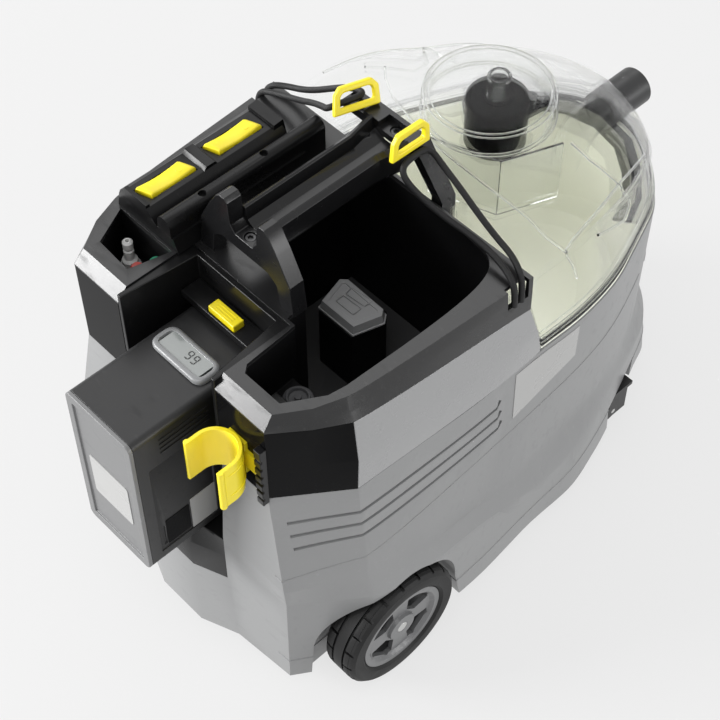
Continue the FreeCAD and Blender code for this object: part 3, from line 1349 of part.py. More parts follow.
spray_coupling = join("spray_coupling",
                      rod("coupling_tail", ("coupling_x", "coupling_y", "floor_gap + tub_wall + pump_height + 26"), "feed_radius",
                          "bin_shelf - floor_gap - tub_wall - pump_height - 26"),
                      rod("coupling_socket", ("coupling_x", "coupling_y", "bin_shelf"), "6", "26"),
                      rod("coupling_collar", ("coupling_x", "coupling_y", "bin_shelf + 14"), "8", "6"),
                      rod("coupling_nose", ("coupling_x", "coupling_y", "bin_shelf + 26"), "4", "20"))
service_caps = join("service_caps",
                    rod("cap_drain", ("-193", "71", "bin_shelf"), "5", "44"),
                    rod("cap_fill", ("-180", "66", "bin_shelf"), "5", "44"))

# Suction turbine: motor, housing and bladed impeller on one shaft

def blade_outline(turn):
    """Plan corners of one backward-curved blade, thicker at its root."""
    inner = 11.0
    outer = size("fan_radius")
    steps = 6
    faces = []
    for lean in (0.0, 1.0):
        line = []
        for step in range(steps + 1):
            share = step / steps
            radius = inner + (outer - inner) * share
            angle = turn - 0.85 * share ** 1.15 + lean * 1.5 / radius
            line.append(Vector(radius * math.cos(angle), radius * math.sin(angle), 0))
        faces.append(line)
    return faces[0] + faces[1][::-1]


def make_impeller():
    """Impeller: back plate, hub, backward-curved blades and the motor shaft below."""
    foot = size("fan_foot")
    plate_top = foot + size("fan_plate")
    height = size("fan_height")
    x = size("fan_x")
    y = size("fan_y")
    plate = sector(size("fan_radius"), foot, plate_top, x, y)
    hub = sector(12, foot, plate_top + 0.6 * height, x, y)
    shaft = sector(size("shaft_radius"), foot - size("shaft_length"), foot, x, y)
    blades = []
    count = int(size("blade_count"))
    for number in range(count):
        outline = blade_outline(math.tau * number / count)
        face = Part.Face(Part.makePolygon(outline + outline[:1]))
        blade = face.extrude(Vector(0, 0, height + 0.5))
        blade.translate(Vector(x, y, plate_top - 0.5))
        blades.append(blade)
    return plate.fuse([hub, shaft] + blades)


fan_impeller = feature("fan_impeller", make_impeller())
scroll_foot = "(fan_foot - scroll_gap - scroll_wall)"
scroll_room_height = "(fan_plate + fan_height + 2 * scroll_gap)"
scroll_outer = rod("scroll_outer", ("fan_x", "fan_y", scroll_foot), "fan_radius + scroll_gap + scroll_wall",
                   scroll_room_height + " + 2 * scroll_wall")
scroll_port = box("scroll_port", ("fan_x", "fan_y - fan_radius - scroll_gap - scroll_wall", scroll_foot),
                  ("fan_radius + 24", "22", scroll_room_height + " + 2 * scroll_wall"))
scroll_blank = join("scroll_blank", scroll_outer, scroll_port)
scroll_room = rod("scroll_room", ("fan_x", "fan_y", "fan_foot - scroll_gap"), "fan_radius + scroll_gap", scroll_room_height)
scroll_exit = box("scroll_exit", ("fan_x", "fan_y - fan_radius - scroll_gap", "fan_foot - scroll_gap"),
                  ("fan_radius + 30", "17", scroll_room_height))
scroll_eye = rod("scroll_eye", ("fan_x", "fan_y", "fan_foot + 10"), "eye_radius", "40")
scroll_shaft = rod("scroll_shaft", ("fan_x", "fan_y", "fan_foot - 20"), "shaft_radius + 3", "20")
turbine_housing = cut("turbine_housing", scroll_blank, scroll_room, scroll_exit, scroll_eye, scroll_shaft)
motor_case = rod("motor_case", ("fan_x", "fan_y", "floor_gap + tub_wall"), "motor_radius",
                 scroll_foot + " - floor_gap - tub_wall")
motor_bore = rod("motor_bore", ("fan_x", "fan_y", "fan_foot - shaft_length - 2"), "shaft_radius + bore_gap", "shaft_length + 2")
motor = cut("motor", motor_case, motor_bore)


def duct_form(depth):
    """Form of the suction duct, set in by a wall: drum over the eye, pipe forward and flat riser with its port."""
    x = size("fan_x")
    y = size("fan_y")
    low = size("fan_foot") + size("fan_plate") + size("fan_height") + size("scroll_gap") + size("scroll_wall")
    top = size("duct_top") - depth
    half = size("duct_half") - depth
    behind = size("bin_front") + size("bin_wall") + 1 + depth
    ahead = size("dirty_rear") - size("dirty_gap") - 2 - depth
    drum = sector(size("eye_radius") + 2.5 - depth, low - (1 if depth else 0), top, x, y)
    pipe = block((x, y - 18 + depth, low + 3 + depth), (behind + 4, y + 18 - depth, top))
    riser = block((behind, y - half, low + 3 + depth), (ahead, y + half, size("port_high") + 3 - depth))
    port = block((behind + 2, y - half + 3, size("port_low") - 2 + depth),
                 (size("dirty_rear") - size("seat_gap") + (1 if depth else 0), y + half - 3, size("port_high") + 2 - depth))
    return drum.fuse([pipe, riser, port])


suction_duct = feature("suction_duct", duct_form(0.0).cut(duct_form(2.0)))
control_board = box("control_board", ("-130", "58", "deck_top - deck_plate - 1.6"), ("90", "48", "1.6"))
pump_case = rod("pump_case", ("pump_x", "pump_y", "floor_gap + tub_wall"), "pump_radius", "pump_height")
pump_head = box("pump_head", ("pump_x - 15", "pump_y - 15", "floor_gap + tub_wall + pump_height"), ("30", "30", "26"))
pump = join("pump", pump_case, pump_head)

PIECES = [
    tub_shell, bay_tray, battery_bay, corner_panel_right, corner_panel_left, side_panel_right, side_panel_left,
    deck_frame, storage_bin, bin_mat, service_well, well_block, hose_plug, fresh_tank, fill_neck, fill_cap,
    handle_rear_arch, handle_grip, handle_front_arch, handle_screws, console_housing, rocker_rear, rocker_front,
    battery_case, battery_end_frame, display_frame, display_screen, release_bar, release_button,
    tyre_right, hub_right, tyre_left, hub_left, rear_axle,
    caster_fork_right, caster_wheel_right, caster_pin_right, caster_fork_left, caster_wheel_left, caster_pin_left,
    dirty_tank, cover_seal, clear_cover, hose_stub, float_housing, float_ball,
    clip_rail, accessory_clip, hook_right, hook_left, strap_right, strap_left, spray_coupling, service_caps,
    fan_impeller, turbine_housing, motor, suction_duct, control_board, pump,
]


def check_document():
    """Stop if any object failed or any piece has an empty or broken shape."""
    doc.recompute()
    for item in doc.Objects:
        if {"Invalid", "Error"} & set(item.State):
            raise RuntimeError("%s failed: %s" % (item.Label, item.State))
    for piece in PIECES:
        if piece.Shape.isNull() or not piece.Shape.isValid() or not piece.Shape.Solids:
            raise RuntimeError("%s has no valid solid" % piece.Label)


def report_size():
    """Print the number of pieces, the overall box and the solids of each piece."""
    whole = FreeCAD.BoundBox()
    for piece in PIECES:
        whole.add(piece.Shape.BoundBox)
        print("%-20s solids %d volume %.0f" % (piece.Label, len(piece.Shape.Solids), piece.Shape.Volume))
    low = tuple(round(value, 2) for value in (whole.XMin, whole.YMin, whole.ZMin))
    high = tuple(round(value, 2) for value in (whole.XMax, whole.YMax, whole.ZMax))
    print(len(PIECES), "pieces", low, high)


def write_parts():
    """Write one file for each piece, named by its label."""
    os.makedirs("parts", exist_ok=True)
    for piece in PIECES:
        piece.Shape.exportStep("parts/%s.step" % piece.Label)


check_document()
report_size()
write_parts()
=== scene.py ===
"""Dressed model of a battery spot extractor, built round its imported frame.

Places and sizes are in millimetres on the frame's axes and become metres when a mesh is made:
+X points to the clear nose, +Y to the switch side and +Z up. The camera, the lamps, the floor
and the noises of the finishes are in metres.
"""

import json
import logging
import math
from dataclasses import dataclass, field
from enum import Enum
from typing import Any, Callable, Iterable, Mapping, Sequence

import bmesh
import bpy
from mathutils import Matrix, Vector
from mathutils.bvhtree import BVHTree
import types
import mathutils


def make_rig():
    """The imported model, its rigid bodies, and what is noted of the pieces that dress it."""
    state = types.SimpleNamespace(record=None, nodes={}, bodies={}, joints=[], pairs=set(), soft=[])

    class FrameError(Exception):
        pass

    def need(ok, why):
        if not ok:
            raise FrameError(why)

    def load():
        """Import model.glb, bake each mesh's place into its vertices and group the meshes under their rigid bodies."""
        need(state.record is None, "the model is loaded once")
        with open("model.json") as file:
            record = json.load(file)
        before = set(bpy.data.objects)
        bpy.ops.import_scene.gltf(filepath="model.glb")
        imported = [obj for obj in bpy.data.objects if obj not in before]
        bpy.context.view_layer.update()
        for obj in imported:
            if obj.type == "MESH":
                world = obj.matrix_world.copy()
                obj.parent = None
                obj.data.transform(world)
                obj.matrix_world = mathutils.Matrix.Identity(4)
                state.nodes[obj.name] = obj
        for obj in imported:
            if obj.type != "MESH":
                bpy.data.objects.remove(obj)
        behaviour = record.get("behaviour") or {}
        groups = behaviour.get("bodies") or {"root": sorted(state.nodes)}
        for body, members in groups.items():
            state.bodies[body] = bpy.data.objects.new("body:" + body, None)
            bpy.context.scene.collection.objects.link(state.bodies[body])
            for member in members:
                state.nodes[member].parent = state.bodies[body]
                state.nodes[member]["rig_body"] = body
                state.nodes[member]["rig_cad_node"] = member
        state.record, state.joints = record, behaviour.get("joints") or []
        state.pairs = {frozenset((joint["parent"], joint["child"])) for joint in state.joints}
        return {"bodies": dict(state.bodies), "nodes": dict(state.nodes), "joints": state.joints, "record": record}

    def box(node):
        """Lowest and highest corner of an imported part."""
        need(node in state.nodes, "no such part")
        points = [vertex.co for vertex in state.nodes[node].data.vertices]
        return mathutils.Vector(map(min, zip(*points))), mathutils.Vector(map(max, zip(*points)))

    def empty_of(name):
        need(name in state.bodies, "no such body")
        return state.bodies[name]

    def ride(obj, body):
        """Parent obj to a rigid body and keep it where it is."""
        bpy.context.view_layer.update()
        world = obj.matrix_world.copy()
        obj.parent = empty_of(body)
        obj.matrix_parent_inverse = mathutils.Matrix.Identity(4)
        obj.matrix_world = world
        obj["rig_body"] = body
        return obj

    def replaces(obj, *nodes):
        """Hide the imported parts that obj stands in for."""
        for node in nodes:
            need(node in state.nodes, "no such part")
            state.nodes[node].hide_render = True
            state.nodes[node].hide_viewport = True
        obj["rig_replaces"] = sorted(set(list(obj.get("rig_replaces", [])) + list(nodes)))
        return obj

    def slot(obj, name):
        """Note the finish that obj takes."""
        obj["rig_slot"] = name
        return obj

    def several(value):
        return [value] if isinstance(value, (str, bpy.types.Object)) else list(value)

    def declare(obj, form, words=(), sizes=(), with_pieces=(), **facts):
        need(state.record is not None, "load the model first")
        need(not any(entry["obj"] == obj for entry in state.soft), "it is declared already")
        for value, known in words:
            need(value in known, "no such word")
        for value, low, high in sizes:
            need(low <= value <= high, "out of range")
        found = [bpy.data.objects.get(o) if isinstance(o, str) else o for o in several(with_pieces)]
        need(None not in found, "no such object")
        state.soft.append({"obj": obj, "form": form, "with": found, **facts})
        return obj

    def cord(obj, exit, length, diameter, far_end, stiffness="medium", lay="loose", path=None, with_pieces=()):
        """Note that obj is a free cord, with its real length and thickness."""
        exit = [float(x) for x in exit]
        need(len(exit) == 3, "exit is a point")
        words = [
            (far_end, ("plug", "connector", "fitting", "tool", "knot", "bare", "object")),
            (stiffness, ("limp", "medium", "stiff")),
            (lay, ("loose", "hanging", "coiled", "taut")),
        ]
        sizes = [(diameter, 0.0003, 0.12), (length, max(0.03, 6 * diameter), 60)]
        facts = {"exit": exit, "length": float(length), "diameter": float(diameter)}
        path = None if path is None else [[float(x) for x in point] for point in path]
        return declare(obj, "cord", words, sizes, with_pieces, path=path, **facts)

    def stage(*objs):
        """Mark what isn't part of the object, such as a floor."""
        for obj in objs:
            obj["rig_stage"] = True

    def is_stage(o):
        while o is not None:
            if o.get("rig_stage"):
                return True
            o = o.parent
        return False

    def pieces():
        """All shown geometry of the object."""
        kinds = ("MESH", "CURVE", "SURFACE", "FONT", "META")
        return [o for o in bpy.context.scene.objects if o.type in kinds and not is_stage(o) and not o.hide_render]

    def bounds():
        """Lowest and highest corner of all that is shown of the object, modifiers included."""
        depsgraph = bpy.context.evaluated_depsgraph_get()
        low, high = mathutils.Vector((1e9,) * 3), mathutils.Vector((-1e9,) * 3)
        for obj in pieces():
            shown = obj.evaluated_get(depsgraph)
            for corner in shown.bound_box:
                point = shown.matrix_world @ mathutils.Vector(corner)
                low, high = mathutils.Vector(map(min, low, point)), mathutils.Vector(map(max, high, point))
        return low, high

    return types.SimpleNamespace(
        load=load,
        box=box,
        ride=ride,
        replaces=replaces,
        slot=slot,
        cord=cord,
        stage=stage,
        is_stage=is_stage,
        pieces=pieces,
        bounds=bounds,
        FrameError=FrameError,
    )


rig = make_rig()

LOG = logging.getLogger("spot_extractor")
MM = 0.001
TURN_STEPS = 48
SHARP_ANGLE = 32.0
SOFT_ANGLE = 50.0

Colour = tuple[float, float, float]
Point = tuple[float, float, float]
Flat = tuple[float, float]
Level = tuple[float, float, float]
Sockets = dict[str, Any]
Piece = bpy.types.Object

WHITE: Colour = (1.0, 1.0, 1.0)
ALONG_Y: Point = (0.0, 1.0, 0.0)
UPRIGHT: Point = (0.0, 0.0, 1.0)


class Signal:
    """A number or colour that varies over a surface, held as the output socket of a node."""

    def __init__(self, graph: "Graph", socket: bpy.types.NodeSocket) -> None:
        """Keep the socket and the graph it belongs to."""
        self.graph = graph
        self.socket = socket

    def maths(self, operation: str, first: Any, second: Any) -> "Signal":
        """Result of a Math node on two signals or numbers."""
        return self.graph.node("ShaderNodeMath", {"operation": operation}, {0: first, 1: second})

    def __add__(self, other: Any) -> "Signal":
        """Sum of two signals."""
        return self.maths("ADD", self, other)

    __radd__ = __add__

    def __sub__(self, other: Any) -> "Signal":
        """Difference of two signals."""
        return self.maths("SUBTRACT", self, other)

    def __rsub__(self, other: Any) -> "Signal":
        """Number less this signal."""
        return self.maths("SUBTRACT", other, self)

    def __mul__(self, other: Any) -> "Signal":
        """Product of two signals."""
        return self.maths("MULTIPLY", self, other)

    __rmul__ = __mul__

    def __pow__(self, other: Any) -> "Signal":
        """This signal to a power."""
        return self.maths("POWER", self, other)

    def __rpow__(self, other: Any) -> "Signal":
        """Number to the power of this signal."""
        return self.maths("POWER", other, self)

    def between(self, low: float, high: float) -> "Signal":
        """Smooth step from 0 at the low value to 1 at the high one."""
        span = {"Value": self, "From Min": low, "From Max": high}
        return self.graph.node("ShaderNodeMapRange", {"interpolation_type": "SMOOTHSTEP"}, span)


class Texture(Enum):
    """The noises of the finishes.

    Each holds its scale per metre, its octaves, the scale of each axis for a noise that runs one
    way, and the span of the noise that steps from 0 to 1.
    """

    CLOUDS = (14.0, 4.0, None, None)
    GRAIN = (2600.0, 2.0, None, None)
    SCUFFS = (160.0, 5.0, (1.0, 0.25, 0.6), (0.56, 0.72))
    WEAR = (240.0, 6.0, (1.0, 0.4, 1.0), (0.6, 0.82))
    HAZE = (30.0, 4.0, None, None)
    WAVES = (55.0, 3.0, None, None)
    TOOL_MARKS = (900.0, 4.0, (1.0, 1.0, 12.0), None)
    DUST = (60.0, 6.0, None, (0.42, 0.78))
    BLOOM = (1800.0, 3.0, None, None)
    SPECKLE = (40.0, 2.0, None, None)


class Graph:
    """The node tree of a material or of the world."""

    def __init__(self, owner: bpy.types.ID) -> None:
        """Take over the owner's node tree and empty it.

        Args:
            owner: The material or the world.
        """
        owner.use_nodes = True
        self.tree = owner.node_tree
        self.tree.nodes.clear()

    def node(self, kind: str, settings: Sockets, inputs: Mapping[Any, Any],
             output: Any = 0) -> Signal | None:
        """Add any node: its settings first, then its sockets.

        Args:
            kind: Blender's type name of the node.
            settings: Properties of the node.
            inputs: Socket name or index to a signal, number or colour.
            output: Name or index of the output to return.

        Returns:
            The chosen output as a signal, or None from a node that ends the tree.
        """
        made = self.tree.nodes.new(kind)
        for name, value in settings.items():
            setattr(made, name, value)
        for name, value in inputs.items():
            self._feed(made.inputs[name], value)
        return Signal(self, made.outputs[output]) if made.outputs else None

    def place(self) -> Signal:
        """Point of the surface on the frame's axes."""
        return self.node("ShaderNodeTexCoord", {}, {}, "Object")

    def noise(self, texture: Texture) -> Signal:
        """Cloudy noise over the surface.

        Args:
            texture: The noise's own numbers.

        Returns:
            The noise from 0 to 1.
        """
        scale, detail, stretch, span = texture.value
        where = self.place()
        if stretch:
            where = self.node("ShaderNodeMapping", {}, {"Vector": where, "Scale": stretch})
        inputs = {"Vector": where, "Scale": scale, "Detail": detail}
        noise = self.node("ShaderNodeTexNoise", {}, inputs)
        return noise.between(*span) if span else noise

    def mix(self, share: Any, first: Any, second: Any) -> Signal:
        """Blend of two colours; the share is the second one's."""
        sockets = {0: share, 6: first, 7: second}
        return self.node("ShaderNodeMix", {"data_type": "RGBA"}, sockets, 2)

    def bump(self, height: Signal, strength: float, distance: float) -> Signal:
        """Normal of a relief whose height runs from 0 to the distance in metres."""
        sockets = {"Strength": strength, "Distance": distance, "Height": height}
        return self.node("ShaderNodeBump", {}, sockets)

    def _feed(self, socket: bpy.types.NodeSocket, value: Any) -> None:
        """Link a signal to a socket or set its constant.

        Args:
            socket: The input socket.
            value: A signal, number or colour.
        """
        if isinstance(value, Signal):
            self.tree.links.new(value.socket, socket)
        elif socket.type == "RGBA":
            socket.default_value = (*value, 1.0)
        else:
            socket.default_value = value


def shade(colour: Colour, factor: float, lift: float = 0.0) -> Colour:
    """Colour with each channel scaled and lifted, no brighter than white."""
    return tuple(min(1.0, channel * factor + lift) for channel in colour)


class Look:
    """A finish that one material shows."""

    def paint(self, graph: Graph) -> Sockets:
        """Values and signals of the surface shader's sockets."""
        raise NotImplementedError

    def build(self, name: str) -> bpy.types.Material:
        """Make the material.

        Args:
            name: Name of the material.

        Returns:
            The finished material.
        """
        material = bpy.data.materials.new(name)
        graph = Graph(material)
        surface = graph.node("ShaderNodeBsdfPrincipled", {}, self.paint(graph))
        graph.node("ShaderNodeOutputMaterial", {}, {"Surface": surface})
        return material


@dataclass(frozen=True)
class Moulded(Look):
    """Moulded plastic: spark-eroded grain, faint flow clouds, hand scuffs and rubbed spots."""

    colour: Colour
    rough: float = 0.4
    shine: float = 0.5
    relief: float = 0.06
    cloud: float = 0.06
    coat: float = 0.0
    scuff: float = 0.1
    rubbed: float = 0.03
    grain_depth: float = 0.00012

    def paint(self, graph: Graph) -> Sockets:
        """Cloud, grain and rub the colour, and raise the grain.

        Args:
            graph: Tree that takes the nodes.

        Returns:
            Values and signals of the shader's sockets.
        """
        clouds = graph.noise(Texture.CLOUDS)
        grain = graph.noise(Texture.GRAIN)
        scuffs = graph.noise(Texture.SCUFFS)
        wear = graph.noise(Texture.WEAR)
        light = shade(self.colour, 1.0 + self.cloud, 0.0015)
        clouded = graph.mix(clouds, shade(self.colour, 1.0 - self.cloud), light)
        grained = graph.mix(grain * 0.35, clouded, light)
        return {
            "Base Color": graph.mix(wear * 0.3, grained, shade(self.colour, 1.1, self.rubbed)),
            "Roughness": self.rough + clouds * 0.08 + scuffs * self.scuff - 0.04,
            "Normal": graph.bump(grain, self.relief, self.grain_depth),
            "Specular IOR Level": self.shine, "Coat Weight": self.coat, "Coat Roughness": 0.06}


@dataclass(frozen=True)
class Clear(Look):
    """Clear plastic: sees through, with a faint haze, flow waves and full gloss on its edges."""

    colour: Colour = (0.97, 0.98, 0.97)
    face: float = 0.2
    edge: float = 0.9
    rough: float = 0.01
    bend: float = 1.06
    coat: float = 0.5
    wave_depth: float = 0.0006

    def paint(self, graph: Graph) -> Sockets:
        """Thicken the edges, haze the faces and wave the surface.

        Args:
            graph: Tree that takes the nodes.

        Returns:
            Values and signals of the shader's sockets.
        """
        haze = graph.noise(Texture.HAZE)
        facing = graph.node("ShaderNodeLayerWeight", {}, {"Blend": 0.3}, "Facing")
        return {
            "Base Color": graph.mix(haze, self.colour, shade(self.colour, 0.97)),
            "Alpha": self.face + facing ** 2.5 * (self.edge - self.face) + haze * 0.04,
            "Roughness": self.rough + haze * 0.02,
            "Normal": graph.bump(graph.noise(Texture.WAVES), 0.05, self.wave_depth),
            "IOR": self.bend, "Transmission Weight": 1.0,
            "Coat Weight": self.coat, "Coat Roughness": 0.03, "Coat IOR": 1.5}


@dataclass(frozen=True)
class Metal(Look):
    """Turned or drawn metal with fine tool marks."""

    colour: Colour = (0.62, 0.62, 0.61)
    rough: float = 0.3
    mark_depth: float = 0.0001

    def paint(self, graph: Graph) -> Sockets:
        """Mark the colour, the gloss and the surface.

        Args:
            graph: Tree that takes the nodes.

        Returns:
            Values and signals of the shader's sockets.
        """
        marks = graph.noise(Texture.TOOL_MARKS)
        return {
            "Base Color": graph.mix(marks, shade(self.colour, 0.85), self.colour),
            "Roughness": self.rough + marks * 0.15,
            "Normal": graph.bump(marks, 0.08, self.mark_depth),
            "Metallic": 1.0}


@dataclass(frozen=True)
class Rubber(Look):
    """Rubber with a faint dusty bloom."""

    colour: Colour = (0.01, 0.01, 0.011)
    rough: float = 0.62
    dust: float = 0.03
    grain_depth: float = 0.0002

    def paint(self, graph: Graph) -> Sockets:
        """Dust the colour and raise the grain.

        Args:
            graph: Tree that takes the nodes.

        Returns:
            Values and signals of the shader's sockets.
        """
        dust = graph.noise(Texture.DUST)
        grain = graph.noise(Texture.BLOOM)
        dusty = shade(self.colour, 1.0, self.dust)
        return {
            "Base Color": graph.mix(dust * 0.45, self.colour, dusty),
            "Roughness": self.rough + grain * 0.15,
            "Normal": graph.bump(grain, 0.12, self.grain_depth),
            "Specular IOR Level": 0.35}


@dataclass(frozen=True)
class Braid(Look):
    """Woven cover of an elastic cord: crossed yarns wound round it."""

    colour: Colour = (0.006, 0.006, 0.0065)
    yarn: float = 420.0
    yarn_depth: float = 0.0004

    def paint(self, graph: Graph) -> Sockets:
        """Cross two sets of slanted yarns, with painted shade in the grooves and a painted highlight on the yarn tops.

        Args:
            graph: Tree that takes the nodes.

        Returns:
            Values and signals of the shader's sockets.
        """
        slant = {"wave_type": "BANDS", "bands_direction": "DIAGONAL"}
        mirrored = {"Vector": graph.place(), "Scale": (-1.0, 1.0, 1.0)}
        one, two = (
            graph.node("ShaderNodeTexWave", slant, {"Vector": where, "Scale": self.yarn}, "Fac")
            for where in (graph.place(), graph.node("ShaderNodeMapping", {}, mirrored)))
        weave = (one + two) * 0.5
        # Painted light: the colour runs from half the yarn colour in the grooves (painted shade) to a lighter tone on
        # the yarn tops (painted highlight).
        painted_yarn_highlight = shade(self.colour, 1.0, 0.012)
        return {
            "Base Color": graph.mix(weave, shade(self.colour, 0.5), painted_yarn_highlight),
            "Roughness": 0.42 + weave * 0.2,
            "Normal": graph.bump(weave, 0.5, self.yarn_depth),
            "Specular IOR Level": 0.25}


@dataclass(frozen=True)
class Paper(Look):
    """Floor paper that glows evenly and still takes the shadow."""

    colour: Colour = (0.12, 0.12, 0.12)
    glow: float = 0.71

    def paint(self, graph: Graph) -> Sockets:
        """Speckle the colour faintly and let it glow.

        Args:
            graph: Tree that takes the nodes.

        Returns:
            Values and signals of the shader's sockets.
        """
        speckle = graph.noise(Texture.SPECKLE)
        return {
            "Base Color": graph.mix(speckle * 0.2, self.colour, shade(self.colour, 0.98)),
            "Roughness": 0.9, "Specular IOR Level": 0.0,
            "Emission Color": WHITE, "Emission Strength": self.glow}


class Finish(Enum):
    """The finishes of the machine, each with the record's material slot that it belongs to."""

    TUB = ("tub_grey", Moulded(
        (0.225, 0.227, 0.229), rough=0.38, relief=0.09, cloud=0.04, rubbed=0.06))
    PANEL = ("panel_grey", Moulded(
        (0.27, 0.272, 0.275), rough=0.27, relief=0.03, cloud=0.03, rubbed=0.06))
    GLOSS = ("black_gloss", Moulded(
        (0.003, 0.003, 0.0033), rough=0.12, shine=0.04, relief=0.01, scuff=0.05, rubbed=0.015))
    DECK = ("black_satin", Moulded((0.009, 0.009, 0.0095), rough=0.28, relief=0.05, rubbed=0.05))
    SATIN = ("black_satin", Moulded(
        (0.005, 0.005, 0.0053), rough=0.28, shine=0.22, relief=0.05, scuff=0.05))
    # Painted shade: the black satin made darker for the hollows of the storage bin, the service well and the fill
    # neck.
    SHADED_SATIN = ("black_satin", Moulded((0.0025, 0.0025, 0.0028), rough=0.45, shine=0.14, rubbed=0.004))
    HANDLE = ("handle_black", Moulded(
        (0.006, 0.006, 0.0065), rough=0.25, shine=0.4, relief=0.03, scuff=0.03))
    MAT = ("bin_grey", Moulded((0.04, 0.04, 0.041), rough=0.5, shine=0.25, relief=0.1))
    BATTERY = ("battery_black", Moulded((0.014, 0.014, 0.0145), shine=0.4, relief=0.12))
    BATTERY_END = ("battery_grey", Moulded((0.15, 0.151, 0.153), relief=0.1, rubbed=0.08))
    DISPLAY = ("display_grey", Moulded((0.2, 0.204, 0.208), rough=0.32, rubbed=0.1))
    LCD = ("display_glass", Moulded(
        (0.2, 0.215, 0.21), rough=0.1, relief=0.0, coat=0.6, scuff=0.03))
    INK = ("display_glass", Moulded((0.012, 0.013, 0.014), rough=0.3, relief=0.0))
    PLATE = ("battery_grey", Moulded((0.36, 0.36, 0.355), rough=0.28, relief=0.02, cloud=0.03))
    YELLOW = ("yellow", Moulded((0.80, 0.66, 0.012), rough=0.34, relief=0.03, cloud=0.03))
    CLEAR = ("clear", Clear())
    GLASS = ("clear", Clear((0.93, 0.94, 0.93), face=0.97, edge=1.0, bend=1.46, coat=0.0))
    TANK = ("tank_pale", Moulded(
        (0.93, 0.94, 0.83), rough=0.3, relief=0.02, cloud=0.03, rubbed=0.05))
    NATURAL = ("tank_white", Moulded((0.62, 0.63, 0.6)))
    SEAL = ("seal_black", Rubber())
    TYRE = ("tyre_black", Rubber((0.003, 0.003, 0.0032), rough=0.5, dust=0.006))
    HUB = ("hub_grey", Moulded((0.13, 0.131, 0.134), rough=0.3, relief=0.04, rubbed=0.12))
    STUB = ("hub_grey", Moulded((0.02, 0.0205, 0.021), rough=0.35, relief=0.05, rubbed=0.06))
    STEEL = ("steel", Metal())
    SCREW = ("steel", Metal((0.09, 0.09, 0.092), rough=0.28))
    ELASTIC = ("elastic", Braid())
    WHITE = ("white", Moulded((0.66, 0.66, 0.65), rough=0.35))
    RED = ("caps", Moulded((0.42, 0.035, 0.025), rough=0.3))
    GREEN = ("caps", Moulded((0.02, 0.2, 0.11), rough=0.3))
    CAP = ("black_gloss", Moulded((0.3, 0.302, 0.306), rough=0.42, rubbed=0.06))
    BOARD = ("board", Moulded((0.02, 0.13, 0.05), rough=0.35))
    PLUG = ("plug_grey", Rubber((0.05, 0.05, 0.053), rough=0.5))

    @property
    def slot(self) -> str:
        """Material slot of the record."""
        return self.value[0]

    def material(self) -> bpy.types.Material:
        """The finish's material, made once."""
        title = "finish_" + self.name.lower()
        return bpy.data.materials.get(title) or self.value[1].build(title)


class Facing(Enum):
    """Directions of a flat plate's width and height, named after the side that it faces."""

    REAR = ((0.0, -1.0, 0.0), (0.0, 0.0, 1.0))
    RIGHT = ((1.0, 0.0, 0.0), (0.0, 0.0, 1.0))
    LEFT = ((-1.0, 0.0, 0.0), (0.0, 0.0, 1.0))
    UP = ((1.0, 0.0, 0.0), (0.0, 1.0, 0.0))
    UP_FROM_REAR = ((0.0, -1.0, 0.0), (1.0, 0.0, 0.0))


def turned(radius: float, step: float, steps: int = TURN_STEPS) -> Flat:
    """Point of a circle round the origin, at a step of its full turn."""
    angle = math.tau * step / steps
    return radius * math.cos(angle), radius * math.sin(angle)


def ring(at: Point, reach: Callable[[int], float]) -> list[Point]:
    """Level ring round a point, with its own reach at each step."""
    flat = [turned(reach(step), step) for step in range(TURN_STEPS)]
    return [(at[0] + x, at[1] + y, at[2]) for x, y in flat]


def placed(name: str, data: bpy.types.ID) -> Piece:
    """Put data in the scene.

    Args:
        name: Name of the object.
        data: Its mesh, curve, lamp or camera.

    Returns:
        The new object.
    """
    made = bpy.data.objects.new(name, data)
    bpy.context.scene.collection.objects.link(made)
    return made


def rounded_outline(corners: Sequence[Flat], radius: float, steps: int = 5) -> list[Flat]:
    """Round the corners of a flat outline.

    Args:
        corners: Corners of the outline.
        radius: Radius of the rounding, less where a side is short.
        steps: Runs of each rounded corner.

    Returns:
        The points of the rounded outline.
    """
    longest = 0.48
    points = []
    for index, place in enumerate(corners):
        corner = Vector(place)
        before = Vector(corners[index - 1]) - corner
        after = Vector(corners[(index + 1) % len(corners)]) - corner
        reach = min(radius / math.tan(before.angle(after) / 2),
                    longest * before.length, longest * after.length)
        start = corner + before.normalized() * reach
        finish = corner + after.normalized() * reach
        for step in range(steps + 1):
            share = step / steps
            point = (start * (1 - share) ** 2 + corner * (2 * share * (1 - share))
                     + finish * share ** 2)
            points.append((point.x, point.y))
    return points


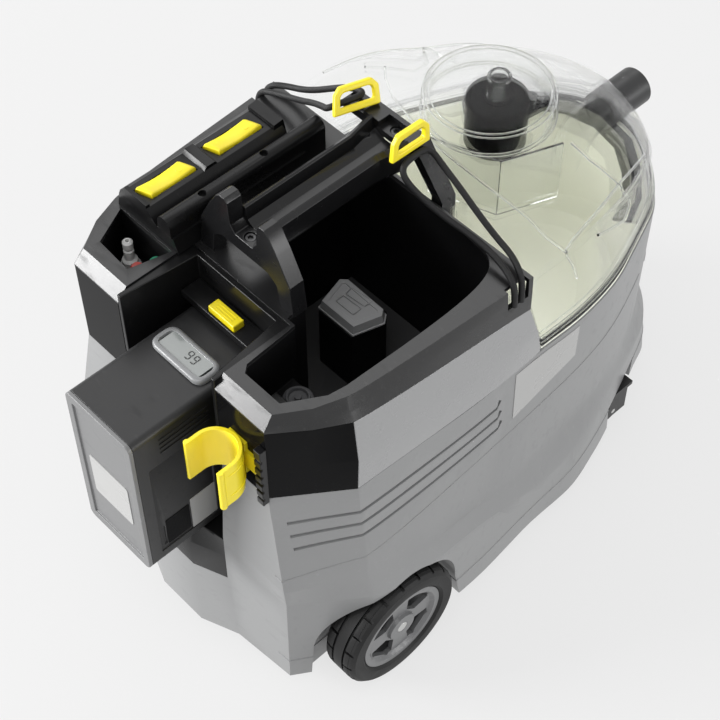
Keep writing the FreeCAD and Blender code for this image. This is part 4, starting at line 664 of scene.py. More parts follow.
@dataclass
class Workshop:
    """Makes and dresses the pieces, and notes their names."""

    frame: dict[str, Any]
    made: list[str] = field(default_factory=list)
    node_weld: float = 0.01
    mesh_weld: float = 0.002
    flat_angle: float = 0.6
    decal_cells: int = 8
    decal_sunk: float = 0.2
    face_pace: float = 4.0

    def soften(self, node: str, finish: Finish, edge: float) -> None:
        """Stand in for a node with the same form, clean faces and rounded edges.

        Args:
            node: Name of the node.
            finish: The finish it gets.
            edge: Width of the rounded edges in millimetres.
        """
        mesh = self.frame["nodes"][node].data.copy()
        work = bmesh.new()
        work.from_mesh(mesh)
        bmesh.ops.remove_doubles(work, verts=work.verts, dist=self.node_weld * MM)
        bmesh.ops.dissolve_limit(
            work, angle_limit=math.radians(self.flat_angle), verts=work.verts, edges=work.edges)
        work.to_mesh(mesh)
        work.free()
        piece = placed(node + "_body", mesh)
        self.dress(piece, node, finish, replace=True)
        self.round_edges(piece, edge)

    @staticmethod
    def round_edges(piece: Piece, edge: float) -> None:
        """Round the edges of a piece.

        Args:
            piece: The mesh piece.
            edge: Width of the rounding in millimetres.
        """
        bevel = piece.modifiers.new("rounded_edges", "BEVEL")
        bevel.width = edge * MM
        bevel.segments = 3
        bevel.limit_method = "ANGLE"
        bevel.angle_limit = math.radians(SHARP_ANGLE)
        bevel.harden_normals = True
        bevel.miter_outer = "MITER_ARC"

    def dress(self, piece: Piece, node: str, finish: Finish,
              angle: float = SHARP_ANGLE, replace: bool = False) -> None:
        """Smooth a piece, give it its finish and let it ride on a node's body.

        Args:
            piece: The mesh or curve piece.
            node: Name of the node whose body carries it.
            finish: The finish it gets.
            angle: Edges sharper than this stay sharp, in degrees.
            replace: True where the piece stands in for the node.
        """
        if piece.type == "MESH":
            piece.data.shade_smooth()
            piece.data.set_sharp_from_angle(angle=math.radians(angle))
        piece.data.materials.clear()
        piece.data.materials.append(finish.material())
        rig.ride(piece, self.frame["nodes"][node]["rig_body"])
        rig.slot(piece, finish.slot)
        if replace:
            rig.replaces(piece, node)
        self.made.append(piece.name)
        LOG.info("made %s", piece.name)

    def mesh(self, name: str, corners: Iterable[Sequence[float]],
             faces: Iterable[Sequence[int]]) -> Piece:
        """Make a closed mesh object with its faces turned outwards.

        Args:
            name: Name of the piece.
            corners: Its corners in millimetres.
            faces: Corner numbers of each face.

        Returns:
            The new object.
        """
        mesh = bpy.data.meshes.new(name)
        points = [tuple(value * MM for value in corner) for corner in corners]
        mesh.from_pydata(points, [], list(faces))
        work = bmesh.new()
        work.from_mesh(mesh)
        bmesh.ops.remove_doubles(work, verts=work.verts, dist=self.mesh_weld * MM)
        bmesh.ops.recalc_face_normals(work, faces=work.faces)
        work.to_mesh(mesh)
        work.free()
        return placed(name, mesh)

    def loft(self, name: str, rings: Sequence[Sequence[Point]], closed: bool = False) -> Piece:
        """Skin rings that have the same number of points.

        Args:
            name: Name of the piece.
            rings: The rings in order, in millimetres.
            closed: True joins the last ring to the first one, False caps both ends.

        Returns:
            The new object.
        """
        count, total = len(rings[0]), len(rings)
        faces = []
        for row in range(total if closed else total - 1):
            here, there = row * count, (row + 1) % total * count
            for i in range(count):
                j = (i + 1) % count
                faces.append((here + i, here + j, there + j, there + i))
        if not closed:
            faces.append(tuple(reversed(range(count))))
            faces.append(tuple(range((total - 1) * count, total * count)))
        return self.mesh(name, [point for ring in rings for point in ring], faces)

    def lathe(self, name: str, profile: Sequence[Flat], at: Point) -> Piece:
        """Turn a closed profile of radii and heights round the upright axis through a point."""
        rings = [ring((*at[:2], at[2] + height), lambda step: radius) for radius, height in profile]
        return self.loft(name, rings, closed=True)

    def slab(self, name: str, outline: Sequence[Flat], low: float, high: float) -> Piece:
        """Make an upright prism over a plan outline, between two heights."""
        return self.loft(name, [[(x, y, z) for x, y in outline] for z in (low, high)])

    def panel(self, name: str, at: Point, facing: Facing, size: Flat, thick: float,
              corner: float = 0.0) -> Piece:
        """Make a flat plate that lies on a surface.

        Args:
            name: Name of the piece.
            at: Middle of its underside in millimetres.
            facing: Side that it faces.
            size: Width and height.
            thick: Thickness.
            corner: Radius of its corners.

        Returns:
            The new object.
        """
        wide, tall = size[0] / 2, size[1] / 2
        outline = [(-wide, -tall), (wide, -tall), (wide, tall), (-wide, tall)]
        if corner:
            outline = rounded_outline(outline, corner)
        across, along = (Vector(axis) for axis in facing.value)
        out = across.cross(along)
        rings = [[tuple(Vector(at) + across * u + along * v + out * lift) for u, v in outline]
                 for lift in (0.0, thick)]
        return self.loft(name, rings)

    @staticmethod
    def cord(name: str, runs: Sequence[Sequence[Any]], radius: float, smooth: bool = False,
             closed: bool = False, resolution: int = 3) -> Piece:
        """Make round cords or beads along runs of points.

        Args:
            name: Name of the piece.
            runs: Points of each run, in millimetres.
            radius: Radius of the section.
            smooth: True draws a smooth line near the points, False straight runs through them.
            closed: True joins the last point of a run to its first one.
            resolution: Blender's resolution of the section; the ends are open below 2.

        Returns:
            The curve object.
        """
        curve = bpy.data.curves.new(name, "CURVE")
        curve.dimensions = "3D"
        curve.bevel_depth = radius * MM
        curve.bevel_resolution = resolution
        curve.use_fill_caps = resolution > 1
        for run in runs:
            spline = curve.splines.new("NURBS" if smooth else "POLY")
            spline.points.add(len(run) - 1)
            for target, point in zip(spline.points, run):
                target.co = (*[value * MM for value in point], 1.0)
            spline.use_cyclic_u = closed
            if smooth:
                spline.order_u = 3
                spline.use_endpoint_u = True
                spline.resolution_u = 8
        return placed(name, curve)

    def contour(self, name: str, node: str, point: Point, normal: Point, radius: float,
                keep: Callable[[Vector], bool] = lambda point: True) -> Piece:
        """Lay a fine bead along the line where a plane cuts a node.

        Args:
            name: Name of the piece.
            node: Name of the node.
            point: Point on the plane in millimetres.
            normal: Normal of the plane.
            radius: Radius of the bead in millimetres.
            keep: Test of a point in millimetres; runs with a point that fails it are left out.

        Returns:
            The curve object.
        """
        work = bmesh.new()
        work.from_mesh(self.frame["nodes"][node].data)
        form = [*work.verts, *work.edges, *work.faces]
        cut = bmesh.ops.bisect_plane(
            work, geom=form, plane_co=Vector(point) * MM, plane_no=normal)["geom_cut"]
        work.edges.index_update()
        left = {run for run in cut if isinstance(run, bmesh.types.BMEdge)
                and all(keep(end.co / MM) for end in run.verts)}
        lines = []
        while left:
            step = min(left, key=lambda run: run.index)
            line = list(step.verts)
            left.discard(step)
            for _ in range(2):
                while step := next((run for run in line[-1].link_edges if run in left), None):
                    left.discard(step)
                    line.append(step.other_vert(line[-1]))
                line.reverse()
            if len(line) > 2:
                lines.append([vert.co / MM for vert in line])
        work.free()
        return self.cord(name, lines, radius, resolution=1)

    def _faces(self, node: str) -> BVHTree:
        """Index the faces of a node.

        Args:
            node: Name of the node.

        Returns:
            The tree that finds its nearest face.
        """
        mesh = self.frame["nodes"][node].data
        return BVHTree.FromPolygons(
            [vert.co for vert in mesh.vertices], [face.vertices for face in mesh.polygons])

    def decal(self, name: str, node: str, corners: Sequence[Point], lift: float) -> Piece:
        """Lay a thin plate on the curved face of a node.

        Args:
            name: Name of the piece.
            node: Name of the node.
            corners: Its four corners near the face, in millimetres.
            lift: Thickness over the face in millimetres.

        Returns:
            The new object.
        """
        faces = self._faces(node)
        a, b, c, d = (Vector(corner) * MM for corner in corners)
        shares = [cell / self.decal_cells for cell in range(self.decal_cells + 1)]
        rings = []
        for v in shares:
            over, under = [], []
            for u in shares:
                spot, normal, _, _ = faces.find_nearest(a.lerp(b, u).lerp(d.lerp(c, u), v))
                over.append(tuple(spot / MM + normal * lift))
                under.append(tuple(spot / MM - normal * self.decal_sunk))
            rings.append(over + under[::-1])
        return self.loft(name, rings)

    def on_face(self, node: str, points: Sequence[Point]) -> list[Point]:
        """Lead a line of points along the face of a node.

        Args:
            node: Name of the node.
            points: Points near its face, in millimetres.

        Returns:
            The points on the face.
        """
        faces = self._faces(node)
        line = []
        for start, stop in zip(points, points[1:]):
            first, last = Vector(start), Vector(stop)
            count = max(1, math.ceil((last - first).length / self.face_pace))
            line += [first.lerp(last, step / count) for step in range(count)]
        line.append(Vector(points[-1]))
        return [tuple(faces.find_nearest(point * MM)[0] / MM) for point in line]


Plain = tuple[tuple[Finish, float, tuple[str, ...]], ...]


@dataclass
class Assembly:
    """A named part of the machine.

    Each plain row holds a finish, the width of the rounded edges in millimetres, and the nodes
    that keep their own form.
    """

    shop: Workshop
    plain: Plain = ()

    def build(self) -> None:
        """Dress the nodes that keep their form, then make the other pieces."""
        for finish, edge, nodes in self.plain:
            for node in nodes:
                self.shop.soften(node, finish, edge)
        self.add()

    def add(self) -> None:
        """Make the pieces that differ from their nodes; a plain part has none."""


@dataclass
class LowerTub(Assembly):
    """Grey tub with its side and corner panels, battery bay and clean water tank."""

    plain: Plain = (
        (Finish.TUB, 1.4, ("tub_shell",)),
        (Finish.SATIN, 0.8, ("bay_tray", "battery_bay")),
        (Finish.GLOSS, 1.2, ("corner_panel_right", "corner_panel_left")),
        (Finish.PANEL, 1.2, ("side_panel_right", "side_panel_left")),
        (Finish.NATURAL, 1, ("fresh_tank",)))
    seam_heights: Flat = (44, 176)
    seam_radius: float = 0.55
    plate_rise: float = 0.5
    plate: tuple[Point, ...] = (
        (-9.7, -139, 191.8), (65.5, -137, 203), (64.5, -137, 241), (-9.7, -139, 246.4))

    def add(self) -> None:
        """Lay the moulded lines round the tub, and its side plate."""
        for number, height in enumerate(self.seam_heights):
            line = self.shop.contour(f"tub_line_{number}", "tub_shell", (0, 0, height), UPRIGHT,
                                     self.seam_radius, self._outside)
            self.shop.dress(line, "tub_shell", Finish.TUB)
        plate = self.shop.decal("side_plate", "tub_shell", self.plate, self.plate_rise)
        self.shop.dress(plate, "tub_shell", Finish.PLATE)

    @staticmethod
    def _outside(point: Vector) -> bool:
        """True for points on the tub's outer sides."""
        return abs(point.y) > 100.0 or point.x > 200.0


@dataclass
class Deck(Assembly):
    """Black deck with the storage bin, the service well and its couplings.

    Each level of a coloured cap holds its height, its radius and the depth of its grip flutes.
    """

    plain: Plain = (
        (Finish.DECK, 2.2, ("deck_frame",)),
        # The storage bin and the service well take the black satin with painted shade.
        (Finish.SHADED_SATIN, 0.5, ("storage_bin",)),
        (Finish.MAT, 0.5, ("bin_mat",)),
        (Finish.SHADED_SATIN, 0.9, ("service_well",)),
        (Finish.SATIN, 1, ("well_block",)))
    coupling: Point = (-184, 93.5, 297)
    coupling_nose: tuple[Flat, ...] = (
        (0, 0), (6, 0), (6, 10.5), (5.2, 11), (5.2, 12.5), (6, 13), (8, 14), (8, 20), (7.2, 20.8),
        (6, 21), (6, 26), (4, 28), (4, 36), (3.2, 36.8), (3.2, 38.8), (4, 39.6), (4, 44.5),
        (2.6, 46), (1.6, 46), (1.6, 38), (0, 38))
    plug: Point = (-174, -79, 297)
    plug_rim: tuple[Flat, ...] = (
        (0, 0.2), (8.6, 0.2), (9, 0.8), (9, 10.6), (10.4, 11), (11, 11.6), (11, 13.4), (10.4, 14),
        (9, 14.4), (8.6, 15.8), (7.4, 16), (6.8, 15.2), (6.6, 13.8), (2.6, 13.4), (2.4, 15.6),
        (0, 15.8))
    caps: tuple[tuple[str, Flat, Finish], ...] = (
        ("cap_red", (-193, 71), Finish.RED), ("cap_green", (-180, 66), Finish.GREEN))
    cap_levels: tuple[Level, ...] = (
        (0, 4.6, 0), (1, 5, 0), (28, 5, 0), (29, 4.2, 0), (31, 4.2, 0), (32, 5, 0.45),
        (42.5, 5, 0.45), (44, 3.8, 0))
    flute_pace: int = 4

    def add(self) -> None:
        """Turn the spray coupling and the hose plug, and make the coloured caps."""
        nose = self.shop.lathe("coupling_nose", self.coupling_nose, self.coupling)
        self.shop.dress(nose, "spray_coupling", Finish.WHITE, replace=True)
        for name, (x, y), finish in self.caps:
            rings = [
                ring((x, y, self.coupling[2] + height),
                     lambda step: radius - (0.0 if step % self.flute_pace else flute))
                for height, radius, flute in self.cap_levels]
            self.shop.dress(self.shop.loft(name, rings), "service_caps", finish, replace=True)
        plug = self.shop.lathe("plug_turned", self.plug_rim, self.plug)
        self.shop.dress(plug, "hose_plug", Finish.PLUG, replace=True)


@dataclass
class WaterFill(Assembly):
    """Fill neck with its grey cap."""

    # The fill neck takes the black satin with painted shade.
    plain: Plain = ((Finish.SHADED_SATIN, 1, ("fill_neck",)), (Finish.CAP, 1.2, ("fill_cap",)))
    top: float = 271.0
    mark_radius: float = 0.4
    mark_corner: float = 1.4
    marks: tuple[tuple[Flat, ...], ...] = (
        ((-54.4, -5.8), (-52.2, -26.2), (-60.2, -26.4), (-62, -7.2)),
        ((-64.4, -7), (-63.4, -26), (-72, -26.3), (-72.2, -7.2)))

    def add(self) -> None:
        """Raise the outlines on the cap."""
        for number, outline in enumerate(self.marks):
            points = [(x, y, self.top) for x, y in rounded_outline(outline, self.mark_corner, 3)]
            line = self.shop.cord(f"cap_mark_{number}", [points], self.mark_radius, closed=True)
            self.shop.dress(line, "fill_cap", Finish.CAP)


@dataclass
class Battery(Assembly):
    """Battery pack with its end plate, labels and charge display.

    Each plate holds its name, middle, side, size, thickness, corner radius and finish. Each level
    of the bezel holds its inset, height and corner radius, and each bar of a lit nine its letter,
    its place across and along the display, and its size.
    """

    plain: Plain = (
        (Finish.BATTERY, 2, ("battery_case",)),
        (Finish.BATTERY_END, 1.6, ("battery_end_frame",)),
        (Finish.LCD, 0.3, ("display_screen",)))
    plates: tuple[tuple[str, Point, Facing, Flat, float, float, Finish], ...] = (
        ("end_label", (-288.4, 0, 228), Facing.REAR, (44, 46), 0.5, 3, Finish.PLATE),
        ("side_label", (-258.5, -34.8, 190), Facing.RIGHT, (22, 30), 0.4, 1, Finish.GLOSS),
        ("side_badge", (-233, -34.8, 190), Facing.RIGHT, (26, 38), 0.4, 1.2, Finish.PLATE))
    bezel: tuple[Level, ...] = (
        (0, 314.9, 9), (0, 317.2, 9), (0.9, 318.6, 8.2), (2.6, 319, 6.8), (4, 318.9, 5.4),
        (4.8, 317.6, 4.8), (4.8, 314.9, 4.8))
    ribs: int = 4
    rib: Point = (-243, 35.7, 288)
    rib_pace: float = 5.0
    rib_size: Flat = (44, 2)
    rib_rise: float = 0.9
    glass: Flat = (-208, 318.4)
    digits: Flat = (2.9, 9.1)
    digit_rise: float = 0.25
    nine: tuple[tuple[str, float, float, Flat], ...] = (
        ("a", 0, 3.6, (2.7, 0.7)), ("b", 1.8, 1.8, (0.7, 2.9)), ("c", 1.8, -1.8, (0.7, 2.9)),
        ("d", 0, -3.6, (2.7, 0.7)), ("f", -1.8, 1.8, (0.7, 2.9)), ("g", 0, 0, (2.7, 0.7)))

    def add(self) -> None:
        """Lay the plates on the pack, and make the bezel, the grip ribs and the digits."""
        for name, at, facing, size, thick, corner, finish in self.plates:
            plate = self.shop.panel(name, at, facing, size, thick, corner)
            self.shop.dress(plate, "battery_case", finish)
        self._bezel()
        for side, facing in ((-1, Facing.RIGHT), (1, Facing.LEFT)):
            for row in range(self.ribs):
                at = (self.rib[0], side * self.rib[1], self.rib[2] + row * self.rib_pace)
                rib = self.shop.panel(f"grip_rib_{side}_{row}", at, facing, self.rib_size,
                                      self.rib_rise, self.rib_rise)
                self.shop.dress(rib, "battery_case", Finish.BATTERY)
        for place, middle in enumerate(self.digits):
            for bar, across, along, size in self.nine:
                at = (self.glass[0] + along, -(middle + across), self.glass[1])
                segment = self.shop.panel(f"digit_{place}_{bar}", at, Facing.UP_FROM_REAR, size,
                                          self.digit_rise)
                self.shop.dress(segment, "battery_case", Finish.INK)

    def _bezel(self) -> None:
        """Make the rounded bezel round the display."""
        low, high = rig.box("display_frame")
        x0, x1, y0, y1 = low[0] / MM, high[0] / MM, low[1] / MM, high[1] / MM
        rings = []
        for inset, z, radius in self.bezel:
            near_x, far_x, near_y, far_y = x0 + inset, x1 - inset, y0 + inset, y1 - inset
            corners = [(near_x, near_y), (far_x, near_y), (far_x, far_y), (near_x, far_y)]
            rings.append([(x, y, z) for x, y in rounded_outline(corners, radius, 7)])
        piece = self.shop.loft("display_bezel", rings, closed=True)
        self.shop.dress(piece, "display_frame", Finish.DISPLAY, SOFT_ANGLE, replace=True)


@dataclass
class ReleaseBar(Assembly):
    """Battery release bar with its yellow button."""

    plain: Plain = (
        (Finish.SATIN, 1.2, ("release_bar",)),
        (Finish.YELLOW, 0.9, ("release_button",)))
    button: Point = (-170.7, 0, 331.9)
    grips: tuple[float, ...] = (-2.4, 0, 2.4)
    grip_size: Flat = (0.8, 18)
    grip_rise: float = 0.3
    grip_corner: float = 0.35

    def add(self) -> None:
        """Raise the grip lines on the button."""
        for number, row in enumerate(self.grips):
            at = (self.button[0] + row, *self.button[1:])
            line = self.shop.panel(f"button_line_{number}", at, Facing.UP, self.grip_size,
                                   self.grip_rise, self.grip_corner)
            self.shop.dress(line, "release_button", Finish.YELLOW)


@dataclass
class Handle(Assembly):
    """Carrying handle on its two arches, with the sunk star screws.

    Each level of a screw's head holds its radius, the reach of its lobes and its height.
    """

    plain: Plain = (
        (Finish.HANDLE, 2.4, ("handle_rear_arch", "handle_front_arch")),
        (Finish.HANDLE, 1.6, ("handle_grip",)))
    screws: tuple[Point, ...] = ((-143.5, 0, 390.6), (-4, 0, 398))
    levels: tuple[Level, ...] = (
        (4.4, 0, -3), (4.4, 0, -0.8), (3.7, 0, 0), (2.1, 0.35, 0), (1.9, 0.35, -1.8))
    lobes: int = 6

    def add(self) -> None:
        """Make the screw heads with their lobed sockets."""
        for number, (x, y, top) in enumerate(self.screws):
            rings = [
                ring((x, y, top + height),
                     lambda step: radius + turned(lobe, self.lobes * step)[0])
                for radius, lobe, height in self.levels]
            head = self.shop.loft(f"handle_screw_{number}", rings)
            self.shop.dress(head, "handle_screws", Finish.SCREW, replace=True)


@dataclass
class Console(Assembly):
    """Switch console with the two yellow rocker switches.

    Each point of a rocker's crown holds its share of the half width and its depth below the top.
    """

    plain: Plain = ((Finish.SATIN, 1.6, ("console_housing",)),)
    rockers: tuple[tuple[str, float], ...] = (("rocker_rear", -146), ("rocker_front", -83))
    half_length: float = 22.6
    half_width: float = 6.7
    slant: float = 2.5
    middle_y: float = 90.5
    flat_top: float = 382.2
    rise: float = 2.2
    dish: float = 1.6
    depth: float = 9.0
    end_share: float = 0.9
    end_drop: float = 1.4
    half_steps: int = 12
    crown: tuple[Flat, ...] = (
        (-1, 1.2), (-0.93, 0.35), (-0.8, 0), (0, -0.15), (0.8, 0), (0.93, 0.35), (1, 1.2))
    mark_share: float = 0.55
    mark_reach: float = 2.4
    mark_radius: float = 0.28
    mark_lift: float = 0.1
    ring_tilt: float = 0.16
    mark_steps: int = 24

    def add(self) -> None:
        """Make the rockers and raise a ring and a bar on each."""
        for node, middle in self.rockers:
            self._rocker(node, middle)
            self._marks(node, middle)

    def _height(self, share: float) -> float:
        """Height of a rocker's top at a place along it, from -1 to 1."""
        return self.flat_top + self.rise * abs(share) ** self.dish

    def _rocker(self, node: str, middle: float) -> None:
        """Make one rocker: slanted ends, dished top and rounded edges.

        Args:
            node: Name of its node.
            middle: X of its middle.
        """
        bottom = self.flat_top - self.depth
        rings = []
        for step in range(-self.half_steps, self.half_steps + 1):
            share = step / self.half_steps
            past = max(0.0, abs(share) - self.end_share) / (1.0 - self.end_share)
            top = self._height(share) - self.end_drop * (1 - math.sqrt(max(0.0, 1 - past ** 2)))
            section = [(across, top - lower) for across, lower in self.crown]
            x = middle + share * (self.half_length - self.slant)
            rings.append([
                (x - across * self.slant, self.middle_y + across * self.half_width, z)
                for across, z in [(-1, bottom), *section, (1, bottom)]])
        piece = self.shop.loft(node + "_moulded", rings)
        self.shop.dress(piece, node, Finish.YELLOW, SOFT_ANGLE, replace=True)

    def _marks(self, node: str, middle: float) -> None:
        """Raise the ring and the bar on a rocker.

        Args:
            node: Name of its node.
            middle: X of its middle.
        """
        height = self._height(self.mark_share) + self.mark_lift
        reach = self.mark_share * self.half_length
        circle = [turned(self.mark_reach, step, self.mark_steps) for step in range(self.mark_steps)]
        tilt = self.ring_tilt / self.mark_reach
        loop = [(middle + reach + x, self.middle_y + y, height + x * tilt) for x, y in circle]
        bar = [(middle - reach, self.middle_y + y, height)
               for y in (-self.mark_reach, 0, self.mark_reach)]
        for name, points in (("ring", loop), ("bar", bar)):
            line = self.shop.cord(f"{node}_{name}", [points], self.mark_radius,
                                  closed=name == "ring")
            self.shop.dress(line, node, Finish.YELLOW)


@dataclass
class RearWheels(Assembly):
    """The two large rear wheels on their axle."""

    plain: Plain = (
        (Finish.TYRE, 1.2, ("tyre_right", "tyre_left")),
        (Finish.HUB, 0.9, ("hub_right", "hub_left")),
        (Finish.STEEL, 0.4, ("rear_axle",)))
    axle: Flat = (-145, 57.7)
    tread: Flat = (46, 57.3)
    grooves: tuple[float, ...] = (134.5, 140, 151, 156.5)
    groove_radius: float = 0.35

    def add(self) -> None:
        """Lay the tread lines round the tyres."""
        for side, name in ((-1, "right"), (1, "left")):
            for number, place in enumerate(self.grooves):
                line = self.shop.contour(
                    f"tread_{name}_{number}", "tyre_" + name, (0, side * place, 0), ALONG_Y,
                    self.groove_radius, self._on_tread)
                self.shop.dress(line, "tyre_" + name, Finish.TYRE)

    def _on_tread(self, point: Vector) -> bool:
        """True for points on a tyre's running face."""
        reach = math.hypot(point.x - self.axle[0], point.z - self.axle[1])
        return self.tread[0] < reach < self.tread[1]


@dataclass
class Casters(Assembly):
    """The two swivel casters under the front."""

    plain: Plain = (
        (Finish.SATIN, 0.7, ("caster_fork_right", "caster_fork_left")),
        (Finish.TYRE, 0.9, ("caster_wheel_right", "caster_wheel_left")),
        (Finish.STEEL, 0.3, ("caster_pin_right", "caster_pin_left")))


@dataclass
class DirtyTank(Assembly):
    """Pale dirty water tank with its seal."""

    plain: Plain = ((Finish.TANK, 1, ("dirty_tank",)), (Finish.SEAL, 0.4, ("cover_seal",)))


@dataclass
class ClearCover(Assembly):
    """Clear cover over the tank with ribs, step line, nose shroud and the hose elbow.

    Its foot slopes: foot_top is its height at foot_rear, and foot_slope its fall per millimetre.
    """

    plain: Plain = ((Finish.CLEAR, 1.2, ("clear_cover",)), (Finish.STUB, 0.8, ("hose_stub",)))
    ribs: tuple[tuple[Point, ...], ...] = (
        ((182.3, -88, 309.5), (132.7, -104.2, 325.8), (88.1, -119.1, 338.1),
         (53.1, -126.8, 340.3), (42.4, -129.9, 339)),
        ((121.2, -62.3, 346), (122.4, -81, 340.5), (129.2, -100, 329.7),
         (131.8, -107.3, 324.4), (141.6, -110.7, 300), (131.4, -115.4, 294.3),
         (84.2, -126, 321.4)))
    rib_radius: float = 1.1
    step: tuple[Point, ...] = (
        (76.9, 95.3, 346), (66.6, 84.1, 350), (54.9, 64.2, 351), (48.1, 40, 352), (42, 20, 352),
        (39.2, -20, 352), (38.6, -50, 351), (39.2, -70.3, 350), (40.3, -92, 347.3),
        (38.5, -113.6, 343.4), (41.7, -130.4, 338.8), (53.1, -130.3, 315), (57.9, -131.6, 298.5))
    step_radius: float = 1.0
    dome_edges: Flat = (356, 374)
    dome_edge_radius: float = 0.7
    foot_rear: float = -224.0
    foot_top: float = 262.0
    foot_slope: float = 0.052
    foot_edges: Flat = (9, 16)
    foot_edge_radius: float = 0.6
    shroud_outer: tuple[Flat, ...] = (
        (170, 96), (196, 84), (221, 62), (243, 33), (250, 0))
    shroud_inner: tuple[Flat, ...] = (
        (160, 84), (185, 73), (207, 53), (226, 28), (232, 0))
    shroud_lifts: Flat = (4.6, 9.2)
    shroud_edge: float = 1.0
    elbow: tuple[Point, ...] = (
        (237, 0, 260), (226, 0, 260), (216, 0, 258), (208.5, 0, 252), (204.5, 0, 244),
        (203.5, 0, 234))
    elbow_radii: Flat = (15.2, 13.6)
    elbow_steps: int = 40
    baffle: tuple[Flat, ...] = ((48, 17), (69, -39), (118, -58))
    baffle_wall: float = 2.0
    baffle_bend: float = 2.4
    baffle_heights: Flat = (286, 344)

    def add(self) -> None:
        """Make the lines, the shroud, the elbow and the baffle."""
        for side, name in ((1, "right"), (-1, "left")):
            for number, rib in enumerate(self.ribs):
                route = [(x, y * side, z) for x, y, z in rib]
                self._line(f"cover_rib_{name}_{number}", route, self.rib_radius)
        self._line("cover_step", self.step, self.step_radius)
        for number, height in enumerate(self.dome_edges):
            self._edge(f"dome_edge_{number}", (0, 0, height), UPRIGHT, self.dome_edge_radius)
        for number, lift in enumerate(self.foot_edges):
            point = (self.foot_rear, 0, self.foot_top + lift)
            slope = (self.foot_slope, 0, 1)
            self._edge(f"foot_edge_{number}", point, slope, self.foot_edge_radius)
        self._shroud()
        self._elbow()
        self._baffle()

    def _line(self, name: str, route: Sequence[Point], radius: float) -> None:
        """Raise a rounded line on the cover's face, near a route in millimetres."""
        line = self.shop.cord(name, [self.shop.on_face("clear_cover", route)], radius, smooth=True)
        self.shop.dress(line, "clear_cover", Finish.GLASS)

    def _edge(self, name: str, point: Point, normal: Point, radius: float) -> None:
        """Lay a rounded edge that catches the light, where a plane cuts the cover."""
        line = self.shop.contour(name, "clear_cover", point, normal, radius)
        self.shop.dress(line, "clear_cover", Finish.GLASS)

    def _shroud(self) -> None:
        """Make the black shroud that runs round inside the nose."""
        outer = [(x, -y) for x, y in self.shroud_outer] + list(self.shroud_outer[-2::-1])
        inner = [(x, -y) for x, y in self.shroud_inner] + list(self.shroud_inner[-2::-1])
        rings = []
        for lift in self.shroud_lifts:
            height = self.foot_top + self.foot_slope * self.foot_rear + lift
            rings.append([(x, y, height - self.foot_slope * x) for x, y in outer + inner[::-1]])
        piece = self.shop.loft("nose_shroud", rings)
        self.shop.dress(piece, "clear_cover", Finish.GLOSS)
        self.shop.round_edges(piece, self.shroud_edge)

    def _elbow(self) -> None:
        """Make the clear elbow that leads from the stub down into the tank."""
        side = Vector(ALONG_Y)
        walls: list[list[list[Point]]] = [[], []]
        for number, point in enumerate(self.elbow):
            before = Vector(self.elbow[max(0, number - 1)])
            after = Vector(self.elbow[min(len(self.elbow) - 1, number + 1)])
            over = (after - before).normalized().cross(side)
            for rings, radius in zip(walls, self.elbow_radii):
                flat = [turned(radius, step, self.elbow_steps) for step in range(self.elbow_steps)]
                rings.append([tuple(Vector(point) + side * u + over * v) for u, v in flat])
        piece = self.shop.loft("hose_elbow", walls[0] + walls[1][::-1], closed=True)
        self.shop.dress(piece, "clear_cover", Finish.CLEAR, SOFT_ANGLE)

    def _baffle(self) -> None:
        """Make the clear baffle that stands under the dome, bent once."""
        a, b, c = (Vector(point) for point in self.baffle)
        first, second = (b - a).normalized(), (c - b).normalized()
        wall = self.baffle_wall
        bend = (second - first).normalized() * self.baffle_bend
        inside = [c + second.orthogonal() * wall, b + bend, a + first.orthogonal() * wall]
        outline = [tuple(point) for point in (a, b, c, *inside)]
        piece = self.shop.slab("baffle", outline, *self.baffle_heights)
        self.shop.dress(piece, "clear_cover", Finish.GLASS)


@dataclass
class FloatUnit(Assembly):
    """Float cage under the dome with its ball, knob and arm."""

    plain: Plain = ((Finish.WHITE, 0.2, ("float_ball",)),)
    axis: Flat = (114, 8)
    cup: tuple[Flat, ...] = (
        (25, 306), (25, 347.6), (25.4, 348), (25.4, 349), (24.6, 350.4), (23.4, 351), (21.6, 351),
        (21, 350.2), (12, 350.2), (11.2, 351), (0.01, 351), (0.01, 348), (22.5, 347.8), (22.5, 306))
    knob_foot: float = 351.0
    knob: tuple[Flat, ...] = (
        (0, 0), (9.6, 0), (9.6, 2), (8.2, 3.2), (8.2, 17), (9.4, 18.4), (9.4, 21), (8.4, 22),
        (7, 22), (6.6, 20), (6.6, 3), (0, 2.6))
    arm: tuple[Flat, ...] = (
        (112, -16.5), (124, -15), (152, -18.5), (156, -14), (150, -9.5), (137, 4), (126, 0))
    arm_corner: float = 2.5
    arm_heights: Flat = (335, 340.5)
    arm_edge: float = 0.8
    chevrons: tuple[Flat, ...] = ((133, -6), (139, -8.4), (145, -10.8))
    chevron: tuple[Flat, ...] = ((-2, 3.4), (1.6, 0), (-3.2, -2.6))
    chevron_radius: float = 0.5

    def add(self) -> None:
        """Make the cup over the ball, the knob, the arm and its chevrons."""
        cup = self.shop.lathe("float_cup", self.cup, (*self.axis, 0))
        self.shop.dress(cup, "float_housing", Finish.GLOSS, replace=True)
        knob = self.shop.lathe("float_knob", self.knob, (*self.axis, self.knob_foot))
        self.shop.dress(knob, "float_housing", Finish.GLASS)
        outline = rounded_outline(self.arm, self.arm_corner)
        arm = self.shop.slab("float_arm", outline, *self.arm_heights)
        self.shop.dress(arm, "float_housing", Finish.GLOSS)
        self.shop.round_edges(arm, self.arm_edge)
        for number, (x, y) in enumerate(self.chevrons):
            points = [(x + u, y + v, self.arm_heights[1]) for u, v in self.chevron]
            line = self.shop.cord(f"arm_chevron_{number}", [points], self.chevron_radius)
            self.shop.dress(line, "float_housing", Finish.PANEL)


